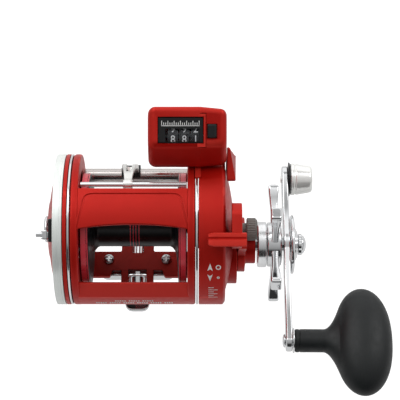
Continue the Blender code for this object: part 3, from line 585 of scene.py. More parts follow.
def frame_casting():
    """Two rings joined by the arched thumb rest, the rear bar and the seat: one red casting."""
    parts = []
    for side in (-1, 1):
        section = [(24.5, 27.0), (28.0, 27.0), (28.0, 35.0), (24.5, 35.0)]
        rounded = soft([(side * x, r) for x, r in section], 1.1, 6)
        parts.append(lathe(f"ring_{side}", rounded, RED, steps=144))
    half, columns = 25.6, 16
    sides = [half * (2 * i / columns - 1) for i in range(columns + 1)]
    lip = [(x, 113.4 + 3.7 * (x / half) ** 2) for x in reversed(sides)]
    arch = [(-half, 84.6), (half, 84.6), *lip]
    parts.append(wrapped("hood", arch, (31.0, 34.35), RED, step=2.5, bevel=0.9, segments=4))
    low = [(x * 0.955, degrees - 0.7) for x, degrees in lip]
    panel = soft([(-20.6, 90.6), (20.6, 90.6), *low], 4.0, 6)
    parts.append(wrapped("hood_panel", panel, (33.6, 34.95), RED, step=2.5, bevel=0.4, segments=4))
    border = soft([(-25.0, 113.2), (-21.8, 88.7), (21.8, 88.7), (25.0, 113.2)], 5.0, 8, open_ends=True)
    bead = ribbon(border, 0.6)
    parts.append(wrapped("hood_bead", bead, (33.6, 34.85), RED, step=2.5, bevel=0.2))
    outer = arc(34.95, 178.2, 203.5, 14)
    inner = [
        around(31.4, 203.0), around(30.4, 190.0), around(30.6, 176.0), around(31.6, 166.0),
        around(33.1, 164.6),
    ]
    parts.append(slab("rear_bar", outer + inner, (-half, half), RED, bevel=0.35))
    ear, step, column = half, 12.0, 7.8
    right = [(4.4, -5.3), (4.4, -13.0), (column, -13.0), (column, -5.6), (step, -5.6), (step + 1.2, -8.9)]
    right += [(ear, -8.9), (ear, 4.5), (column, 4.5), (column, 14.0), (2.75, 14.0), (2.75, 3.8)]
    outline = soft(right + [(-x, y) for x, y in reversed(right)], 0.9, 4)
    finished(gather(*parts), "frame_body").name = "frame_casting"
    # The seat is part of the same red casting; it takes the darkened red as painted shade.
    added(slab("frame_seat", outline, SEAT_Z, RED_PAINTED_SHADE, along="Z", bevel=0.35), "frame_body")


def rail_marks():
    """Two rows of fine white dashes printed low on the rear bar."""
    dashes = []
    for row, (start, stop, count) in enumerate(((185.8, 188.2, 17), (190.6, 194.6, 34))):
        for i in range(count):
            x = (i - (count - 1) / 2) * 1.05
            if i % 6 == 5:
                continue
            dash = rectangle(x - 0.32, x + 0.32, start, stop)
            dashes.append(wrapped(f"dash_{row}_{i}", dash, (34.9, PLATE_R), WHITE_MARK))
    added(gather(*dashes), "frame_body").name = "rail_marks"


def ridge(name, half, tops, ends):
    """A round-topped ridge of the foot along Y, whose height falls from tops[0] to tops[1]."""
    base = FOOT_T - 0.4
    loops = []
    for i in range(9):
        t = i / 8
        y = ends[0] + (ends[1] - ends[0]) * t
        top = tops[0] + (tops[1] - tops[0]) * t**0.8
        wide = half * (1 - 0.35 * t)
        turns = [math.pi * k / 12 for k in range(13)]
        loops.append([(wide * math.cos(a), y, base + (top - base) * math.sin(a) ** 0.7) for a in turns])
    return lofted(name, loops, CHROME)


def foot():
    """The chromed foot: a long thin blade, a block under the seat and a ridge each way."""
    corners = [
        (-5.4, -23.5), (5.4, -23.5), (7.5, -8.0), (7.5, 18.0), (5.0, 34.0), (-5.0, 34.0), (-7.5, 18.0),
        (-7.5, -8.0),
    ]
    blade = slab("blade", soft(corners, 3.6, 7), (0.0, FOOT_T), CHROME, along="Z", bevel=0.7, segments=4)
    block = soft(rectangle(-17.2, 17.2, -7.4, 3.6), 3.0, 6)
    pad = slab("pad", block, (FOOT_T - 0.6, SEAT_Z[0] - 0.35), CHROME, along="Z", bevel=0.6, segments=4)
    tops = (SEAT_Z[0] + 0.5, FOOT_T + 0.2)
    rear = ridge("rear_ridge", 4.1, tops, (-5.0, -19.5))
    front = ridge("front_ridge", 2.45, tops, (3.4, 29.0))
    finished(gather(blade, pad, rear, front), "reel_foot").name = "foot_chromed"


def cross_screw(node, centre, under, head, shank, along, side):
    """A dome-head screw with a cross recess; `under` is the plane below its head."""
    top = under + side * head[0]
    low = under - side * shank[0]
    profile = [
        (low, 0.0), (low, shank[1]), (under, shank[1]), (under, head[1]),
        (under + side * 0.35 * head[0], head[1]),
    ]
    for i in range(1, 7):
        turn = math.radians(15.0 * i)
        profile.append((under + side * head[0] * (0.35 + 0.65 * math.sin(turn)), head[1] * math.cos(turn)))
    screw = lathe(f"screw_{node}", profile, STEEL, centre, 40, along)
    arm, width = 0.62 * head[1], 0.2 * head[1]
    ends = (top - 0.55, top + 0.5) if along == "Z" else sorted((top - side * 0.5, top + side * 0.5))
    bars = [corners_of(centre, halves) for halves in ((arm, width), (width, arm))]
    cuts = [slab(f"cross_{i}", bar, ends, STEEL, along=along) for i, bar in enumerate(bars)]
    finished(cut(screw, *cuts), node)


def frame_and_foot():
    frame_casting()
    rail_marks()
    foot()
    for node, x in (("foot_screw_left", -13.8), ("foot_screw_right", 13.8)):
        cross_screw(node, (x, 0.0), SEAT_Z[1] + 0.3, (1.7, 2.4), (4.0, 1.4), "Z", 1)


# ---- left side ----

CLICKER_AT, CLICKER_R = 118.0, 27.5
SCREW_R = 24.0
SCREW_TURNS = {"cover_screw_front": 240.0, "cover_screw_rear": 120.0}


def click_block(name, halves, ends, finish, at=0.0, bevel=0.25, corner=0.7):
    """A rounded block on the left cover: halves are (outwards, along the slide)."""

    def point(out, along):
        out_y, out_z = around(CLICKER_R + out, CLICKER_AT, (0.0, 0.0))
        along_y, along_z = around(along, CLICKER_AT - 90.0, (0.0, 0.0))
        return out_y + along_y, SPOOL_AXIS[1] + out_z + along_z

    outline = soft([point(*place) for place in corners_of((0.0, at), halves)], corner, 5)
    return slab(name, outline, ends, finish, bevel=bevel)


def trim(node):
    ends = span(node)
    finished(lathe(f"fine_{node}", soft(rectangle(*ends, 32.6, 35.0), 0.32, 4), CHROME, steps=160), node)


def left_cover():
    """The domed red cover: a stepped rim, a raised centre, the clicker's window and two screw seats."""
    apex, rim_x, rim_r = -40.4, -35.5, 31.9
    outer = dome(apex, rim_x, rim_r, 22)
    step_at = next(i for i, (_, r) in enumerate(outer) if r < 14.0)
    outer = [(x + (0.35 if i < step_at else 0.0), r) for i, (x, r) in enumerate(outer)]
    inner = [(x + 1.6, 0.945 * r) for x, r in reversed(outer)]
    profile = [
        (-33.0, rim_r), *outer[:-1], (outer[-1][0], 3.3), (inner[0][0], 3.3), *inner[1:],
        (-33.0, inner[-1][1]),
    ]
    cover = lathe("left_cover_dome", soft(profile, 0.3, 2), RED, steps=128)
    seats = []
    for turn in SCREW_TURNS.values():
        seat = [(-45.0, 0.0), (-45.0, 2.5), (-37.2, 2.5), (-37.2, 1.5), (-33.0, 1.5), (-33.0, 0.0)]
        seats.append(lathe(f"seat_{turn}", seat, RED, around(SCREW_R, CLICKER_AT + turn), 40))
    opening = click_block("opening", (3.7, 5.5), (-42.0, -34.0), RED, bevel=0.0)
    finished(cut(cover, opening, *seats), "left_cover")


def clicker():
    bezel = click_block("clicker_bezel_frame", (3.4, 5.2), (-37.9, -35.3), BLACK, bevel=0.35)
    slot = click_block("slot", (1.2, 4.0), (-40.0, -34.0), BLACK, bevel=0.0, corner=0.4)
    finished(cut(bezel, slot), "clicker_bezel")
    rest = -2.0
    parts = [
        click_block("plate", (2.6, 2.2), (-40.6, -38.3), CHROME, rest, 0.4),
        click_block("thumb", (2.2, 1.0), (-43.5, -39.4), CHROME, rest, 0.35),
        click_block("stem", (0.8, 1.4), (-39.4, -33.6), CHROME, rest),
    ]
    parts += [
        click_block(f"rib_{i}", (2.3, 0.22), (-41.2, -40.0), CHROME, rest + s, 0.1, 0.1)
        for i, s in enumerate((-1.6, 1.6))
    ]
    finished(gather(*parts), "clicker_button").name = "clicker_slide"


def bearing_cap():
    profile = [
        (-37.6, 0.0), (-37.6, 2.9), (-40.8, 2.9), (-40.8, 6.2), (-41.5, 6.2), (-42.2, 5.4), (-42.4, 3.0),
        (-42.4, 0.0),
    ]
    cap = lathe("left_cap", soft(profile, 0.25, 3), CHROME, steps=72)
    slot = corners_of(SPOOL_AXIS, (0.55, 4.6))
    finished(cut(cap, slab("coin_slot", slot, (-43.0, -41.6), CHROME)), "left_bearing_cap")


def left_side():
    trim("left_trim_ring")
    profile = [
        (-31.3, 2.5), (-31.3, 35.0), (-29.6, 35.0), (-29.6, 9.0), (-25.2, 6.6), (-25.2, 4.3),
        (-29.6, 4.3), (-29.6, 2.5),
    ]
    finished(lathe("left_plate_turned", soft(profile, 0.3, 3), RED, steps=144), "left_side_plate")
    low, high = span("left_silver_ring")
    groove = [
        (low, 32.3), (high, 32.3), (high, 35.0), (high - 0.9, 35.0), (high - 1.0, 34.8),
        (high - 1.1, 35.0), (low, 35.0),
    ]
    finished(lathe("silver_ring_turned", soft(groove, 0.28, 3), SPUN, steps=160), "left_silver_ring")
    left_cover()
    clicker()
    bearing_cap()
    for node, turn in SCREW_TURNS.items():
        cross_screw(node, around(SCREW_R, CLICKER_AT + turn), -37.5, (0.8, 2.2), (5.8, 1.2), "X", -1)


# ---- right side ----

COUNTER_SECTION = [(28.5, 24.0), (28.5, 18.0), (55.3, 14.0), (55.3, 35.0), (37.7, 35.0)]
COUNTER_WALL = 1.4
COUNTER_AXIS = (42.5, 26.0)  # in the leaning frame: along the deck, above it
HOUSING_X = (29.6, 41.7)
PRINT_R = (34.97, 35.03)


def counter_corners(deep=0.0):
    return [tilted(*corner) for corner in inset(COUNTER_SECTION, deep)]


def deck_block(name, ends, middle, halves, corner=0.0):
    """A block in the counter's leaning frame; `middle` and `halves` are along the deck and above it."""
    outline = [tilted(*place) for place in corners_of(middle, halves)]
    return slab(name, soft(outline, corner, 4) if corner else outline, ends, RED)


def side_housing():
    """The right plate's rim and neck, with the counter's right half cast on."""
    start, end = HOUSING_X
    section = [(start, 33.6), (40.0, 33.6), (40.0, 31.3), (end, 31.3), (end, 33.6)]
    section += [(end - 1.1, PLATE_R), (start, PLATE_R)]
    rim = lathe("housing_rim", soft(section, 0.35, 3), RED, steps=160)
    block = pillow("counter_right_half", counter_corners(), 2.4, (30.3, 42.2), (0.12, 2.6), RED, draft=1.1)
    saddle = soft(rectangle(28.0, 30.6, 8.0, 76.0), 0.5, 3)
    fuse(rim, block, wrapped("saddle", saddle, (34.9, 35.8), RED, step=2.5))
    pocket = slab("counter_pocket", counter_corners(COUNTER_WALL), (29.0, 32.0), RED)
    notch = deck_block("tongue_notch", (29.0, 33.0), (44.6, 34.65), (7.7, 1.35))
    recess = deck_block("reset_recess", (33.2, 37.9), (44.3, 33.8), (3.3, 2.2), 0.7)
    gear_pocket = lathe("gear_pocket", rod(31.0, 36.4, 4.7), RED, tilted(*COUNTER_AXIS), 48)
    finished(cut(rim, pocket, notch, recess, gear_pocket), "right_side_plate")


def rim_mark(name, strokes):
    """White strokes printed on the housing's rim; each is a path of (x, degrees)."""
    return [
        wrapped(f"{name}_{i}_{k}", ribbon(pair, 0.42), PRINT_R, WHITE_MARK, step=4.0)
        for i, stroke in enumerate(strokes)
        for k, pair in enumerate(zip(stroke, stroke[1:]))
    ]


def circle_stroke(x, degrees, radius):
    turns = [math.radians(18.0 * i) for i in range(21)]
    return [(x + radius * math.cos(t), degrees + radius * math.sin(t) / PLATE_ARC) for t in turns]


def rim_marks():
    """Plain clutch signs: an arrow towards a ring for free spool, and one towards a dot for engaged."""
    arrows = [
        wrapped(f"arrow_{side}", outline, PRINT_R, WHITE_MARK)
        for side, outline in (
            ("up", [(33.5, 149.2), (34.7, 142.8), (35.9, 149.2), (34.7, 147.7)]),
            ("down", [(33.5, 152.4), (34.7, 158.8), (35.9, 152.4), (34.7, 153.9)]),
        )
    ]
    free, engaged = circle_stroke(38.4, 146.2, 1.0), circle_stroke(38.4, 155.4, 0.45)
    rails = [[(34.0, 166.0 + 2.6 * i), (38.2 if i % 2 else 36.4, 166.0 + 2.6 * i)] for i in range(6)]
    marks = gather(*arrows, *rim_mark("clutch_mark", [free, engaged, *rails]))
    added(marks, "right_side_plate").name = "rim_marks"


def right_cover():
    """The domed cover with three round steps on the handle's axis."""
    outer = dome(46.0, 41.07, 31.0, 24)
    profile = [(38.5, 0.0), (38.5, 31.0), (40.75, 31.0), *[(x, min(r, 30.7)) for x, r in outer]]
    cover = lathe("right_cover_dome", profile, RED, steps=144)
    steps = [
        (40.5, 0.0), (40.5, 18.5), (47.5, 18.5), (47.5, 10.3), (51.6, 10.3), (51.6, 9.0), (56.3, 9.0),
        (56.3, 0.0),
    ]
    fuse(cover, lathe("shaft_bosses", soft(steps, 0.5, 4), RED, MAIN_AXIS, 96))
    hollow = [(37.5, 0.0), (37.5, 29.3), *[(x - 1.6, 0.945 * r) for x, r in outer[:-1]], (44.4, 0.0)]
    bore = [(39.0, 0.0), (39.0, 6.8), (52.3, 6.8), (52.3, 3.3), (58.0, 3.3), (58.0, 0.0)]
    cutters = [lathe("hollow", hollow, RED, steps=96), lathe("bore", bore, RED, MAIN_AXIS, 64)]
    finished(cut(cover, *cutters, lathe("stem", rod(40.0, 49.0, 3.2), RED, steps=48)), "right_cover")


def lever():
    """The clutch lever: a ring, a slim arm, a stepped plate and a thumb pad with two cast ridges."""
    ring_x = (47.8, 51.3)
    hub = lathe("lever_ring", soft(rectangle(*ring_x, 10.6, 12.9), 0.45, 4), RED, MAIN_AXIS, 96)
    arm = [
        (-1.0, 24.0), (-8.5, 24.0), (-10.6, 3.5), (-13.4, -5.0), (-9.5, -2.6), (-4.2, -3.0), (-3.7, 3.5),
        (-1.6, 8.0),
    ]
    plate = [
        (-8.5, 20.5), (-1.0, 20.5), (2.0, 24.0), (12.3, 27.5), (12.3, 33.0), (8.5, 38.0), (-1.0, 39.2),
        (-7.0, 38.9),
    ]
    parts = [hub]
    for name, outline, ends, corner in (("arm", arm, ring_x, 1.0), ("plate", plate, (44.4, 49.0), 1.6)):
        corners = soft([tilted(*point) for point in outline], corner, 5)
        parts.append(slab(f"lever_{name}", corners, ends, RED, bevel=0.45))
    pad = []
    for x, left in ((33.7, 1.0), (34.0, 0.55), (36.4, 0.0), (50.6, 0.0), (51.0, 0.35)):
        profile = [
            (-7.0 + left, 37.5), (-0.8 - left, 37.4), (-0.8 - left, 38.9 - 0.4 * left),
            (-1.3 - left, 39.6 - left),
        ]
        profile += [(-2.6, 39.75 - left), (-3.0, 39.45 - left), (-3.5, 39.45 - left), (-3.9, 40.05 - left)]
        profile += [(-5.2, 40.3 - left), (-6.5 + left, 40.4 - left), (-7.0 + left, 39.9 - left)]
        pad.append([(x, *tilted(*point)) for point in profile])
    parts.append(lofted("lever_pad", pad, RED, 32.0))
    finished(gather(*parts), "clutch_lever").name = "clutch_lever_cast"


def knurled(name, ends, radius, depth, teeth, finish, chamfer):
    """A cylinder on the spool's axis with straight knurls, chamfered at both ends."""
    stations = [(ends[0], 1.0), (ends[0] + chamfer, 0.0), (ends[1] - chamfer, 0.0), (ends[1], 1.0)]
    loops = []
    for x, narrow in stations:
        loop = []
        for i in range(4 * teeth):
            low = (1.0, 0.25, 0.0, 0.25)[i % 4]
            r = radius - chamfer * narrow - depth * (1 - low) * (1 - narrow)
            loop.append((x, *around(r, 90.0 * i / teeth)))
        loops.append(loop)
    return lofted(name, loops, finish, 25.0)


def tension_cap():
    """The spool tension cap: a knurled cylinder on a stem, with a dished face."""
    low, high = 51.9, 56.3
    grip = knurled("tension_cap", (low, high), 5.3, 0.28, 30, GREY, 0.4)
    stem = lathe("tension_cap_stem", rod(44.0, low + 0.5, 2.9), GREY, steps=48)
    face = [(56.0, 0.0), (56.0, 4.6), (56.6, 4.6), (56.9, 4.3), (56.9, 3.0), (56.5, 2.8), (56.5, 0.0)]
    cap = gather(grip, stem, lathe("cap_face", soft(face, 0.15, 2), GREY, steps=64))
    finished(cap, "spool_tension_cap").name = "tension_cap_knurled"


def right_side():
    trim("right_trim_ring")
    side_housing()
    rim_marks()
    right_cover()
    lever()
    tension_cap()


# ---- star drag and handle ----

STAR_X, ARM_X = (62.9, 67.9), (69.7, 72.7)
STAR_R, STAR_ARMS, STAR_AT = 29.5, 5, 14.0
KNOB_AT, WEIGHT_AT = (-49.5, MAIN_AXIS[1]), (35.3, MAIN_AXIS[1])


def star_arm(number):
    """One arm: thin and narrow at its waist, thick and wide at its blunt tip."""
    middle = STAR_AT + number * 360.0 / STAR_ARMS
    centre_x = sum(STAR_X) / 2
    loops = []
    for out, wide, thick in (
        (7.0, 4.9, 1.7),
        (11.0, 4.3, 1.65),
        (14.5, 3.4, 1.6),
        (18.5, 2.95, 1.75),
        (22.5, 3.3, 2.15),
        (26.0, 3.55, 2.45),
        (27.9, 3.3, 2.5),
        (28.6, 2.8, 2.25),
        (28.95, 2.1, 1.7),
    ):
        corners = soft([(thick, wide), (-thick, wide), (-thick, -wide), (thick, -wide)], 0.9, 4)
        across, ahead = math.radians(middle + 90.0), math.radians(middle)
        loop = []
        for x, w in corners:
            y = MAIN_AXIS[0] + out * math.cos(ahead) + w * math.cos(across)
            z = MAIN_AXIS[1] + out * math.sin(ahead) + w * math.sin(across)
            loop.append((centre_x + x, y, z))
        loops.append(loop)
    return lofted(f"star_arm_{number}", loops, CHROME, 40.0)


def star():
    hub = [
        (61.9, 3.4), (61.9, 10.2), (62.3, 10.6), (68.0, 10.6), (68.7, 9.6), (68.7, 6.6), (68.3, 6.2),
        (68.3, 3.4),
    ]
    parts = [lathe("star_hub", soft(hub, 0.3, 3), CHROME, MAIN_AXIS, 96)]
    parts += [star_arm(number) for number in range(STAR_ARMS)]
    finished(gather(*parts), "star_drag").name = "star_wheel"
    profile = [(57.2, 3.3), (57.2, 10.3), (57.7, 10.9), (61.2, 10.9), (61.6, 10.4), (61.6, 3.3)]
    finished(lathe("drag_hub_turned", soft(profile, 0.2, 2), SPUN_MAIN, MAIN_AXIS, 128), "drag_hub")


def handle_arm():
    """The pressed arm: a knob end, a shaft eye and a counterweight end, its edges rounded."""
    upper = [
        *arc(5.0, 180.0, 100.0, 10, (KNOB_AT[0], 0.0)), (-43.0, 4.35), (-36.0, 4.0), (-28.0, 4.2),
        (-16.0, 5.2), (-10.0, 6.6),
    ]
    upper += [
        *arc(9.0, 125.0, 55.0, 14, (0.0, 0.0)), (10.0, 6.7), (17.0, 5.4), (26.0, 5.5),
        *arc(6.4, 105.0, 0.0, 14, (WEIGHT_AT[0], 0.0)),
    ]
    lower = [(y, -z) for y, z in reversed(upper[1:-1])]
    outline = [(y, MAIN_AXIS[1] + z) for y, z in upper + lower]
    bores = ((3.3, MAIN_AXIS), (2.3, KNOB_AT), (2.1, WEIGHT_AT))
    holes = [arc(radius, 0.0, 360.0 * 31 / 32, 31, centre) for radius, centre in bores]
    arm = slab("handle_arm_pressed", outline, ARM_X, CHROME, holes, bevel=0.75, segments=5)
    finished(arm, "handle_arm")


def fastenings():
    """The bell-shaped washer and the six-sided nut with its domed end."""
    bell = [
        (73.0, 3.3), (73.0, 13.2), (73.4, 14.0), (74.3, 14.0), (74.8, 12.6), (75.0, 9.8), (75.5, 7.6),
        (76.4, 6.0), (76.4, 3.3),
    ]
    finished(lathe("bell_washer", soft(bell, 0.35, 4), CHROME, MAIN_AXIS, 96), "handle_washer")
    loops = []
    for x, radius in ((76.7, 5.0), (76.95, 5.4), (78.2, 5.4), (78.6, 5.0)):
        reach = [(a, 0.885 + 0.115 * abs(math.cos(math.radians(3 * a)))) for a in range(0, 360, 5)]
        loops.append([(x, *around(radius * part, a, MAIN_AXIS)) for a, part in reach])
    start, rise, wide = 78.3, 2.3, 4.5
    turns = [math.radians(t) for t in range(0, 91, 10)]
    end = [(start, 0.0), (start, wide), *[(start + rise * math.sin(t), wide * math.cos(t)) for t in turns]]
    nut = gather(lofted("nut_flats", loops, CHROME, 20.0), lathe("nut_dome", end, CHROME, MAIN_AXIS, 48))
    finished(nut, "handle_nut").name = "acorn_nut"


def counterweight():
    profile = [
        (69.2, 0.0), (69.2, 1.8), (73.9, 1.8), (73.9, 7.3), (74.4, 7.8), (75.6, 7.8), (76.0, 7.3),
        (76.5, 7.3), (76.8, 7.55),
    ]
    profile += [(83.3, 6.45), (84.2, 5.9), (84.5, 5.0), (84.5, 2.4), (84.2, 2.2), (84.2, 0.0)]
    finished(lathe("counterweight_turned", soft(profile, 0.3, 3), BRIGHT, WEIGHT_AT, 96), "counterweight")
    for node, centre, inner, outer, finish in (
        ("counterweight_washer", WEIGHT_AT, 2.1, 8.2, BLACK),
        ("knob_washer", KNOB_AT, 2.3, 5.8, CHROME),
    ):
        section = soft(rectangle(73.0, 73.6, inner, outer), 0.18, 3)
        finished(lathe(f"{node}_turned", section, finish, centre, 64), node)
    rivet = [
        (68.3, 0.0), (68.3, 1.9), (68.75, 3.0), (69.1, 3.2), (69.4, 3.1), (69.4, 2.0), (83.0, 2.0),
        (83.0, 0.0),
    ]
    finished(lathe("knob_rivet", soft(rivet, 0.2, 3), CHROME, KNOB_AT, 48), "knob_shaft")


def knob():
    """A matte stem that flares smoothly into an egg-shaped grip."""
    middle, half = (105.4, 13.4), (26.3, 11.6)
    stem, neck, join = 5.35, 87.0, 94.3

    def egg(x):
        swell = math.sin(math.acos((middle[0] - x) / middle[1])) ** 0.85
        return half[0] * swell, half[1] * swell

    ahead = [
        (73.9, 4.95), (74.3, stem), (75.6, stem), (75.8, 5.15), (76.1, 5.15), (76.3, stem), (80.0, stem),
        (neck, stem),
    ]
    ahead = [(x, r, r) for x, r in ahead]
    wide_end, tall_end = egg(join)
    for i in range(1, 15):
        t = i / 14
        flare = t**1.9
        wide, tall = stem + (wide_end - stem) * flare, stem + (tall_end - stem) * flare
        ahead.append((neck + (join - neck) * t, wide, tall))
    for i in range(1, 33):
        start = math.acos((middle[0] - join) / middle[1])
        angle = start + (math.pi - 0.09 - start) * i / 32
        x = middle[0] - middle[1] * math.cos(angle)
        ahead.append((x, *egg(x)))
    loops = []
    for x, wide, tall in ahead:
        turns = [2 * math.pi * i / 72 for i in range(72)]
        shift = -0.5 * min(1.0, max(0.0, (x - 86.0) / 8.0))
        middle_y = KNOB_AT[0] + shift
        loops.append([(x, middle_y + wide * math.cos(t), KNOB_AT[1] + tall * math.sin(t)) for t in turns])
    grip = lofted("knob_grip", loops, RUBBER, 50.0)
    bore = lathe("knob_bore", rod(70.0, 84.0, 2.3), RUBBER, KNOB_AT, 40)
    finished(cut(grip, bore), "knob")


def handle():
    star()
    handle_arm()
    fastenings()
    counterweight()
    knob()


# ---- level wind and spool ----


def worm():
    """The level wind's shaft, with crossed grooves cut round its length."""
    turns, low, high = 11, -19.5, 19.5
    stations, radius = 300, 1.7
    loops = []
    for i in range(stations + 1):
        x = low + (high - low) * i / stations
        phase = 2 * math.pi * turns * i / stations
        loop = []
        for k in range(48):
            angle = 2 * math.pi * k / 48
            near = min(abs(math.remainder(angle - side * phase, 2 * math.pi)) for side in (1, -1))
            groove = 0.55 * max(0.0, 1 - (near / 0.75) ** 2)
            loop.append((x, *around(radius - groove, math.degrees(angle), WORM)))
        loops.append(loop)
    body = lofted("worm_grooved", loops, STEEL, 60.0)
    left = [(-26.2, 0.0), (-26.2, 1.5), (-26.0, radius), (low, radius), (low, 0.0)]
    right = [(high, 0.0), (high, radius), (29.0, radius), (29.0, 1.2), (34.2, 1.2), (34.2, 0.0)]
    ends = [lathe(f"worm_end_{i}", end, STEEL, WORM, 48) for i, end in enumerate((left, right))]
    finished(gather(body, *ends), "worm_shaft").name = "worm_cut"


def tube():
    """The chromed tube round the worm, slotted along its underside."""
    gap, count = 30.0, 64
    turns = [-90.0 + gap + (360.0 - 2 * gap) * i / count for i in range(count + 1)]
    outline = [around(3.25, t, WORM) for t in turns] + [around(2.35, t, WORM) for t in reversed(turns)]
    middle = slab("tube_slotted", outline, (-20.5, 20.5), NICKEL, bevel=0.12, segments=2)
    ends = []
    for side in (-1, 1):
        end = rectangle(*sorted((side * 20.5, side * 24.2)), 2.35, 3.25)
        ends.append(lathe(f"tube_{side}", soft(end, 0.1, 2), NICKEL, WORM, 72))
    finished(gather(middle, *ends), "levelwind_tube").name = "levelwind_tube_slotted"


def line_guide():
    """The pressed guide: a wide foot, a slotted waist that tapers, and an eye on the bar."""
    outline = [(-3.8, 6.7), (3.8, 6.7)]
    ups = [20.0 + 5.0 * i for i in range(11)]
    halves = [3.8 - 2.15 * ((a - 20.0) / 50.0) ** 0.9 for a in ups]
    outline += [(w, a) for a, w in zip(ups, halves)] + [
        (-w, a) for a, w in reversed(list(zip(ups, halves)))
    ]
    slot = soft([(-1.4, 12.0), (1.4, 12.0), (1.25, 56.0), (-1.25, 56.0)], 1.2, 6)
    shape = [(GUIDE_X + x, a) for x, a in soft(outline, 1.0, 4)]
    slot = [(GUIDE_X + x, a) for x, a in slot]
    plate = wrapped("guide_plate", shape, (28.4, 30.4), GUIDE_METAL, [slot], bevel=0.35)
    eye = soft(rectangle(GUIDE_X - 1.65, GUIDE_X + 1.65, 1.55, 2.7), 0.35, 4)
    eye = lathe("guide_eye", eye, GUIDE_METAL, GUIDE_BAR, 64)
    collar = soft(rectangle(GUIDE_X - 2.1, GUIDE_X + 2.1, 1.55, 2.25), 0.2, 3)
    collar = lathe("guide_collar", collar, GUIDE_METAL, GUIDE_BAR, 64)
    finished(gather(plate, eye, collar), "line_guide").name = "line_guide_pressed"


def carriage():
    """The collar that slides on the tube, cut away where the spool's flanges turn."""
    low, high = span("carriage")
    section = [
        (low, 3.55), (high, 3.55), (high, 5.0), (high - 1.1, 5.0), (high - 1.3, 4.75), (low + 1.3, 4.75),
        (low + 1.1, 5.0), (low, 5.0),
    ]
    collar = lathe("carriage_collar", soft(section, 0.25, 3), BLACK, WORM, 72)
    clearance = lathe("flange_clearance", rod(low - 1, high + 1, 27.0), BLACK, steps=180)
    finished(cut(collar, clearance), "carriage")


def level_wind():
    worm()
    tube()
    carriage()
    line_guide()
    bar = [(-24.2, 0.0), (-24.2, 1.0), (-24.0, 1.2), (24.0, 1.2), (24.2, 1.0), (24.2, 0.0)]
    finished(lathe("guide_bar_polished", bar, CHROME, GUIDE_BAR, 48), "guide_bar")


def spool():
    """The black spool with flared flanges, red rims and four fine lines round its arbor."""
    half = [
        (22.2, 2.3), (22.2, 8.0), (21.7, 9.0), (21.7, 23.5), (22.2, 24.2), (22.2, 25.5), (21.7, 26.0),
        (20.7, 26.0), (20.2, 25.4),
    ]
    half += [(19.9, 19.0), (19.4, 13.0), (18.6, 10.0), (17.4, 8.5), (16.4, 8.0)]
    profile = [(-x, r) for x, r in half] + [(x, r) for x, r in reversed(half)]
    finished(lathe("spool_body", soft(profile, 0.35, 3), BLACK, steps=128), "spool")
    # The rims and the arbor's lines are red; their pink tone is a painted highlight.
    for name, side in (("left", -1), ("right", 1)):
        band = soft(rectangle(*sorted((side * 20.6, side * 23.9)), 25.3, 26.0), 0.2, 3)
        added(lathe(f"spool_rim_{name}", band, RED_WITH_PAINTED_HIGHLIGHT, steps=128), "spool")
    bands = [rectangle(x - 0.13, x + 0.13, 7.9, 8.03) for x in (-2.0, -0.65, 0.6, 2.0)]
    lines = [lathe(f"line_{i}", band, RED_WITH_PAINTED_HIGHLIGHT, steps=96) for i, band in enumerate(bands)]
    added(gather(*lines), "spool").name = "spool_lines"


# ---- line counter ----

WHEELS = {"hundreds": 18.1, "tens": 23.2, "units": 28.25}
WHEEL_HALF, WHEEL_R = 2.3, 7.5
FACE_ALONG = (38.8, 50.7)
FACE_MIDDLE, FACE_HALF = sum(FACE_ALONG) / 2, (FACE_ALONG[1] - FACE_ALONG[0]) / 2
READING = {"hundreds": 8, "tens": 8, "units": 1}
READ_OFFSET = 15.0  # degrees round the wheel from the deck's normal to the numeral being read
NUMERAL_H = 3.6


def counter_shell():
    """The counter's hollow left half, with the tongue that enters the right half."""
    cover = pillow("counter_left_half", counter_corners(), 2.4, (6.8, 30.34), (3.4, 0.1), RED)
    hollow = slab("counter_inside", counter_corners(COUNTER_WALL), (8.4, 31.0), RED)
    cut(cover, hollow, lathe("frame_clearance", rod(5.8, 31.0, 35.3), RED, steps=200))
    fuse(cover, deck_block("tongue", (29.0, 32.7), (44.6, 34.3), (7.4, 0.68)))
    opening = deck_block("face_opening", (11.3, 31.8), (FACE_MIDDLE, 34.5), (FACE_HALF, 1.8), 0.5)
    finished(cut(cover, opening), "counter_cover")


def face_plate():
    """The black face, its window opening and printed scale marks above it."""
    plate = deck_block("counter_face_plate", (11.6, 31.5), (FACE_MIDDLE, 34.1), (FACE_HALF - 0.3, 0.3), 0.3)
    cut(plate, deck_block("digit_opening", (14.8, 29.9), (42.5, 34.1), (2.9, 2.0), 0.3))
    plate.data.materials[0] = BLACK
    finished(plate, "counter_face")
    places = []
    for i in range(19):
        x, tall = 13.1 + 0.93 * i, 1.9 if i % 3 == 0 else 1.1
        places.append(((x - 0.14, x + 0.14), (47.0, 47.0 + tall)))
    places.append(((12.9, 30.0), (46.55, 46.8)))
    ink = ((34.38, 34.46), WHITE_MARK, 0.05, 0.02)
    marks = [deck_plate(f"mark_{i}", *place, *ink) for i, place in enumerate(places)]
    added(gather(*marks), "counter_face").name = "face_marks"


def digit_wheel(name, x):
    """A wheel with ten numerals; the one being read faces the window."""
    centre = tilted(*COUNTER_AXIS)
    profile = rectangle(x - WHEEL_HALF, x + WHEEL_HALF, 1.4, WHEEL_R - 0.12)
    wheel = lathe(f"wheel_{name}", soft(profile, 0.15, 2), WHEEL_BLACK, centre, 80)
    parts = []
    for digit in range(10):
        turn = 90.0 + math.degrees(TILT) + 36.0 * (READING[name] - digit) + READ_OFFSET
        parts.append(numeral(str(digit), x, turn, centre))
    finished(wheel, f"digit_wheel_{name}")
    added(gather(*parts), f"digit_wheel_{name}").name = f"numerals_{name}"


